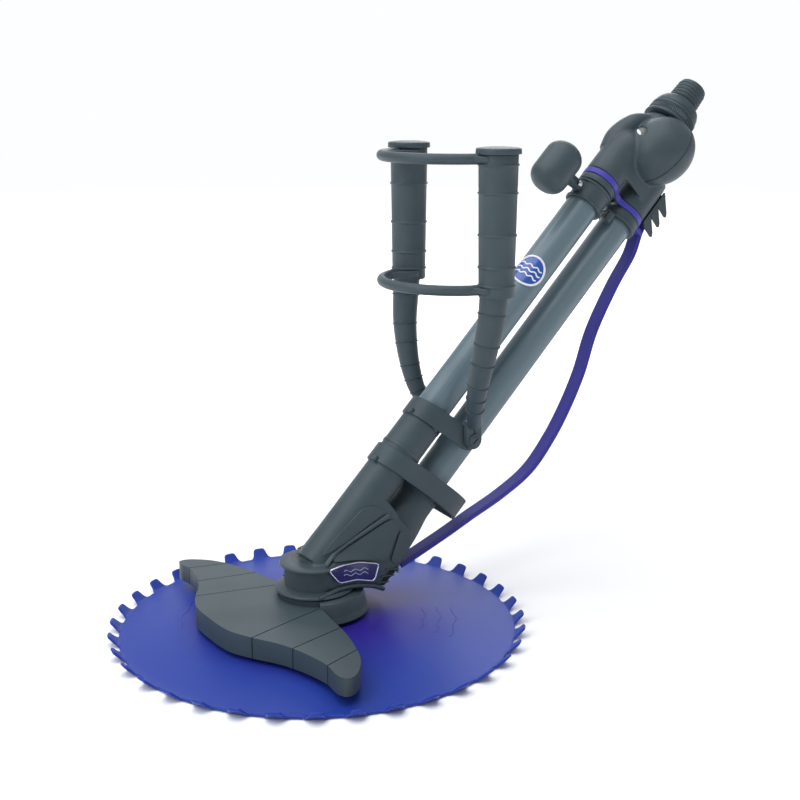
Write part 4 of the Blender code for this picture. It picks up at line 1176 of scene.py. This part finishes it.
STRAP_HEAD = [(0.0322, 0.6680), (0.0325, 0.6400), (0.0370, 0.6180)]
STRAP_ROUTE = [(0.4520, 0.3810), (0.4259, 0.3452), (0.3950, 0.2930), (0.3763, 0.2428), (0.3540, 0.2003),
               (0.3290, 0.1640), (0.2975, 0.1310), (0.2550, 0.1075), (0.2085, 0.0890), (0.1720, 0.0740),
               (0.1350, 0.0600), (0.1060, 0.0495)]


class CLEANER_OT_strap(bpy.types.Operator):
    """Bend the bumper strap and fit the finned cleat that grips its upper end"""
    bl_idname = "cleaner.strap"
    bl_label = "Strap"

    def execute(self, context):
        head = [(FOOT.inverted() @ MAST @ Vector((across, 0, along))).xz for across, along in STRAP_HEAD]
        line = flowing([tuple(p) for p in head] + STRAP_ROUTE, 8)
        half = 0.0088
        bm = band(line, [-half] * len(line), [half] * len(line), 0.0042)
        make("strap", bm, strap_elastomer(), "cleaner", ["bumper_strap"], 0.0015,
             FOOT @ UPRIGHT)
        # painted highlight: beads in the lighter violet along both edges stand for the strap's lit edges
        for side, name in ((-1, "near"), (1, "far")):
            beads = [(x, side * half, z) for x, z in line]
            make(name + "_strap_highlight_bead", hose(beads, 0.0015, 4), band_elastomer(), "cleaner")
        self.cleat()
        return {'FINISHED'}

    def cleat(self):
        base = block((0.0022, 0.0360, 0.0420), (0.0262, 0, 0.6480))
        mould("cleat_base", base, "cleaner", ["strap_cleat"], 0.0006, MAST)
        for side, name in ((-1, "near"), (1, "far")):
            for tooth in range(3):
                foot = 0.6205 + tooth * 0.0160
                outline = [(0.0225, foot + 0.0020), (0.0225, foot + 0.0190), (0.0440, foot + 0.0040),
                           (0.0470, foot), (0.0455, foot - 0.0020), (0.0300, foot - 0.0010)]
                fin = slab(soften(outline, 0.0008), -0.0012, 0.0012)
                mould("%s_fin_%d" % (name, tooth), moved(fin, UPRIGHT), edge=0.0004,
                      matrix=at(0, side * 0.0165))


LEG = [(0.1812, 0.0455, 0.2150), (0.1765, 0.0505, 0.2260), (0.1715, 0.0580, 0.2430),
       (0.1690, 0.0660, 0.2660), (0.1690, 0.0735, 0.2920), (0.1705, 0.0790, 0.3180), (0.1735, 0.0820, 0.3430),
       (0.1755, 0.0827, 0.3665)]
LEG_RADII = [0.0080, 0.0088, 0.0101, 0.0115, 0.0129, 0.0141, 0.0150, 0.0156]
LEG_RINGS = [0.2380, 0.2500, 0.2680, 0.2910, 0.3150, 0.3480]
SLEEVE_RINGS = [0.5060, 0.4766, 0.4322, 0.3980, 0.3785]


class CLEANER_OT_handle(bpy.types.Operator):
    """Mould the two legs, float sleeves and caps of the handle, and the bows between them"""
    bl_idname = "cleaner.handle"
    bl_label = "Handle"

    def execute(self, context):
        for side, name in ((-1, "near"), (1, "far")):
            self.leg(side, name)
            self.sleeve(side, name)
            self.screw(side, name)
        for node, low_post in (("upper_bow", False), ("lower_bow", True)):
            self.bow(node, low_post)
        return {'FINISHED'}

    def leg(self, side, name):
        path = [(x, side * y, z) for x, y, z in flowing(LEG, 6)]
        radii = [r[0] for r in flowing([(r, 0) for r in LEG_RADII], 6)]
        parts = [hose(path, radii, 14)]
        for height in LEG_RINGS:
            i = min(range(1, len(path) - 1), key=lambda k: abs(path[k][2] - height))
            along = (Vector(path[i + 1]) - Vector(path[i - 1])).normalized()
            tilt = Vector((0, 0, 1)).rotation_difference(along).to_matrix().to_4x4()
            r = radii[i]
            ring = turned([(r - 0.001, 0.0009), (r + sizes().rib, 0.0006), (r + sizes().rib, -0.0006),
                           (r - 0.001, -0.0009)], 0.0003, 64)
            parts.append(moved(ring, Matrix.Translation(path[i]) @ tilt))
        lug = arc((0, 0), 0.0105, 180, 360, 25) + [(0.0100, 0.0120), (0.0086, 0.0235), (-0.0106, 0.0235),
                                                    (-0.0112, 0.0120)]
        plate = moved(slab(lug, -0.0030, 0.0030), UPRIGHT)
        local = PIVOT - ORIGIN
        moved(plate, Matrix.Translation((local.x, side * 0.0388, local.z)))
        mould(name + "_leg_post", join(*parts), "handle", [name + "_leg"])
        mould(name + "_lug", plate, "handle", edge=0.0008)
        # painted shade: a thin black strip on the lug where its slit lies in shade
        slit = block((0.0008, 0.0010, 0.0130), (local.x, side * 0.0419, local.z + 0.0130))
        make(name + "_lug_slit", slit, nitrile_rubber(), "handle")

    def sleeve(self, side, name):
        top = CAP_TOP - 0.0060
        profile = [(0, top), (0.0212, top)]
        for height in SLEEVE_RINGS:
            radius = 0.0192 + 0.0020 * (height - SLEEVE_FOOT) / (top - SLEEVE_FOOT)
            profile += [(radius, height + 0.0014), (radius + sizes().rib, height + 0.0008),
                        (radius + sizes().rib, height - 0.0008), (radius, height - 0.0014)]
        profile += [(0.0196, SLEEVE_FOOT + 0.0020), (0.0190, SLEEVE_FOOT), (0, SLEEVE_FOOT)]
        place = FOOT @ Matrix.Translation((POST_X, side * POST_Y, 0))
        mould(name + "_sleeve", turned(profile, 0.0004), "handle", [name + "_float_sleeve"], matrix=place)
        cap = turned([(0, CAP_TOP + 0.0022), (0.0120, CAP_TOP + 0.0019), (0.0215, CAP_TOP + 0.0010),
                      (0.0240, CAP_TOP + 0.0002), (0.0244, CAP_TOP - 0.0056), (0, CAP_TOP - 0.0057)], 0.0008)
        mould(name + "_lid", cap, "handle", [name + "_cap"], matrix=place)

    def screw(self, side, name):
        local = PIVOT - ORIGIN
        place = FOOT @ Matrix.Translation((local.x, side * 0.0388, local.z)) @ \
            Matrix.Rotation(math.radians(-90 * side), 4, 'X')
        boss = turned([(0.0078, 0.0046), (0.0078, 0.0028), (0.0036, 0.0028), (0.0036, 0.0046)], 0.0006, 48)
        mould(name + "_pivot_boss", boss, "handle", matrix=place)
        bm = turned([(0, 0.0056), (0.0040, 0.0055), (0.0056, 0.0047), (0.0056, 0.0030), (0.0032, 0.0030),
                     (0.0032, -0.0070), (0, -0.0070)], 0.0004, 48)
        piece = linked(as_mesh(bm, name + "_screw"), name + "_screw")
        slot = block((0.0130, 0.0016, 0.0040), (0, 0, 0.0062))
        carve(piece, moved(slot, Matrix.Rotation(math.radians(40), 4, 'Z')))
        finish(piece, slate(), "handle", ["pivot_screw_" + name], matrix=place)

    def bow(self, node, low_post):
        low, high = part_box(node)
        height = (low[2] + high[2]) / 2 + (0.0 if low_post else 0.0070)
        deep, wide = 0.0760, 0.0790
        turn = [(POST_X - deep * math.sin(math.radians(a)), -wide * math.cos(math.radians(a)), height)
                for a in range(8, 173, 4)]
        rod = hose(turn, 0.0058, 10)
        mould(node + "_rod", rod, "handle", [node])
        for side, name in ((-1, "near"), (1, "far")):
            outline = [(POST_X - 0.0480, side * 0.0640), (POST_X - 0.0230, side * 0.0600),
                       (POST_X - 0.0020, side * 0.0600), (POST_X, side * 0.0827),
                       (POST_X - 0.0170, side * 0.0930), (POST_X - 0.0290, side * 0.0790)]
            gusset = slab(flowing(outline, 5, True), height - 0.0032, height + 0.0032)
            mould("%s_gusset_%s" % (node, name), gusset, "handle", edge=0.0012)


HIDDEN = {"throat_gasket": nitrile_rubber, "flapper": nitrile_rubber, "flapper_axle": stainless_steel,
          "wing_ballast": stainless_steel, "ballast_screw_near": stainless_steel,
          "ballast_screw_far": stainless_steel, "strap_pin": stainless_steel, "ballast_lid": slate}


class CLEANER_OT_inside(bpy.types.Operator):
    """Give the pieces that work out of sight their own finishes"""
    bl_idname = "cleaner.inside"
    bl_label = "Inside"

    def execute(self, context):
        for node, material in HIDDEN.items():
            mesh = frame["nodes"][node].data
            mesh.materials.clear()
            mesh.materials.append(material())
        return {'FINISHED'}


OPERATORS = (CLEANER_OT_stage, CLEANER_OT_seal, CLEANER_OT_foot, CLEANER_OT_wing, CLEANER_OT_housing,
             CLEANER_OT_trim, CLEANER_OT_tubes, CLEANER_OT_bands, CLEANER_OT_couplings,
             CLEANER_OT_side_float, CLEANER_OT_head, CLEANER_OT_outlet, CLEANER_OT_strap,
             CLEANER_OT_handle, CLEANER_OT_inside)


class CLEANER_PT_panel(bpy.types.Panel):
    """Buttons for each group of pieces"""
    bl_idname = "CLEANER_PT_panel"
    bl_label = "Pool Cleaner"
    bl_space_type = 'VIEW_3D'
    bl_region_type = 'UI'
    bl_category = "Pool Cleaner"

    def draw(self, context):
        for operator in OPERATORS:
            self.layout.operator(operator.bl_idname)
        for group in (context.scene.cleaner_colours, context.scene.cleaner_sizes):
            for name in group.bl_rna.properties.keys():
                if name not in ("rna_type", "name"):
                    self.layout.prop(group, name)


CLASSES = (CleanerColours, CleanerSizes, *OPERATORS, CLEANER_PT_panel)


def register():
    for cls in CLASSES:
        bpy.utils.register_class(cls)
    bpy.types.Scene.cleaner_colours = bpy.props.PointerProperty(type=CleanerColours)
    bpy.types.Scene.cleaner_sizes = bpy.props.PointerProperty(type=CleanerSizes)


def unregister():
    del bpy.types.Scene.cleaner_colours
    del bpy.types.Scene.cleaner_sizes
    for cls in reversed(CLASSES):
        bpy.utils.unregister_class(cls)


def main():
    register()
    for operator in OPERATORS:
        group, name = operator.bl_idname.split(".")
        getattr(getattr(bpy.ops, group), name)()


if __name__ == "__main__":
    main()
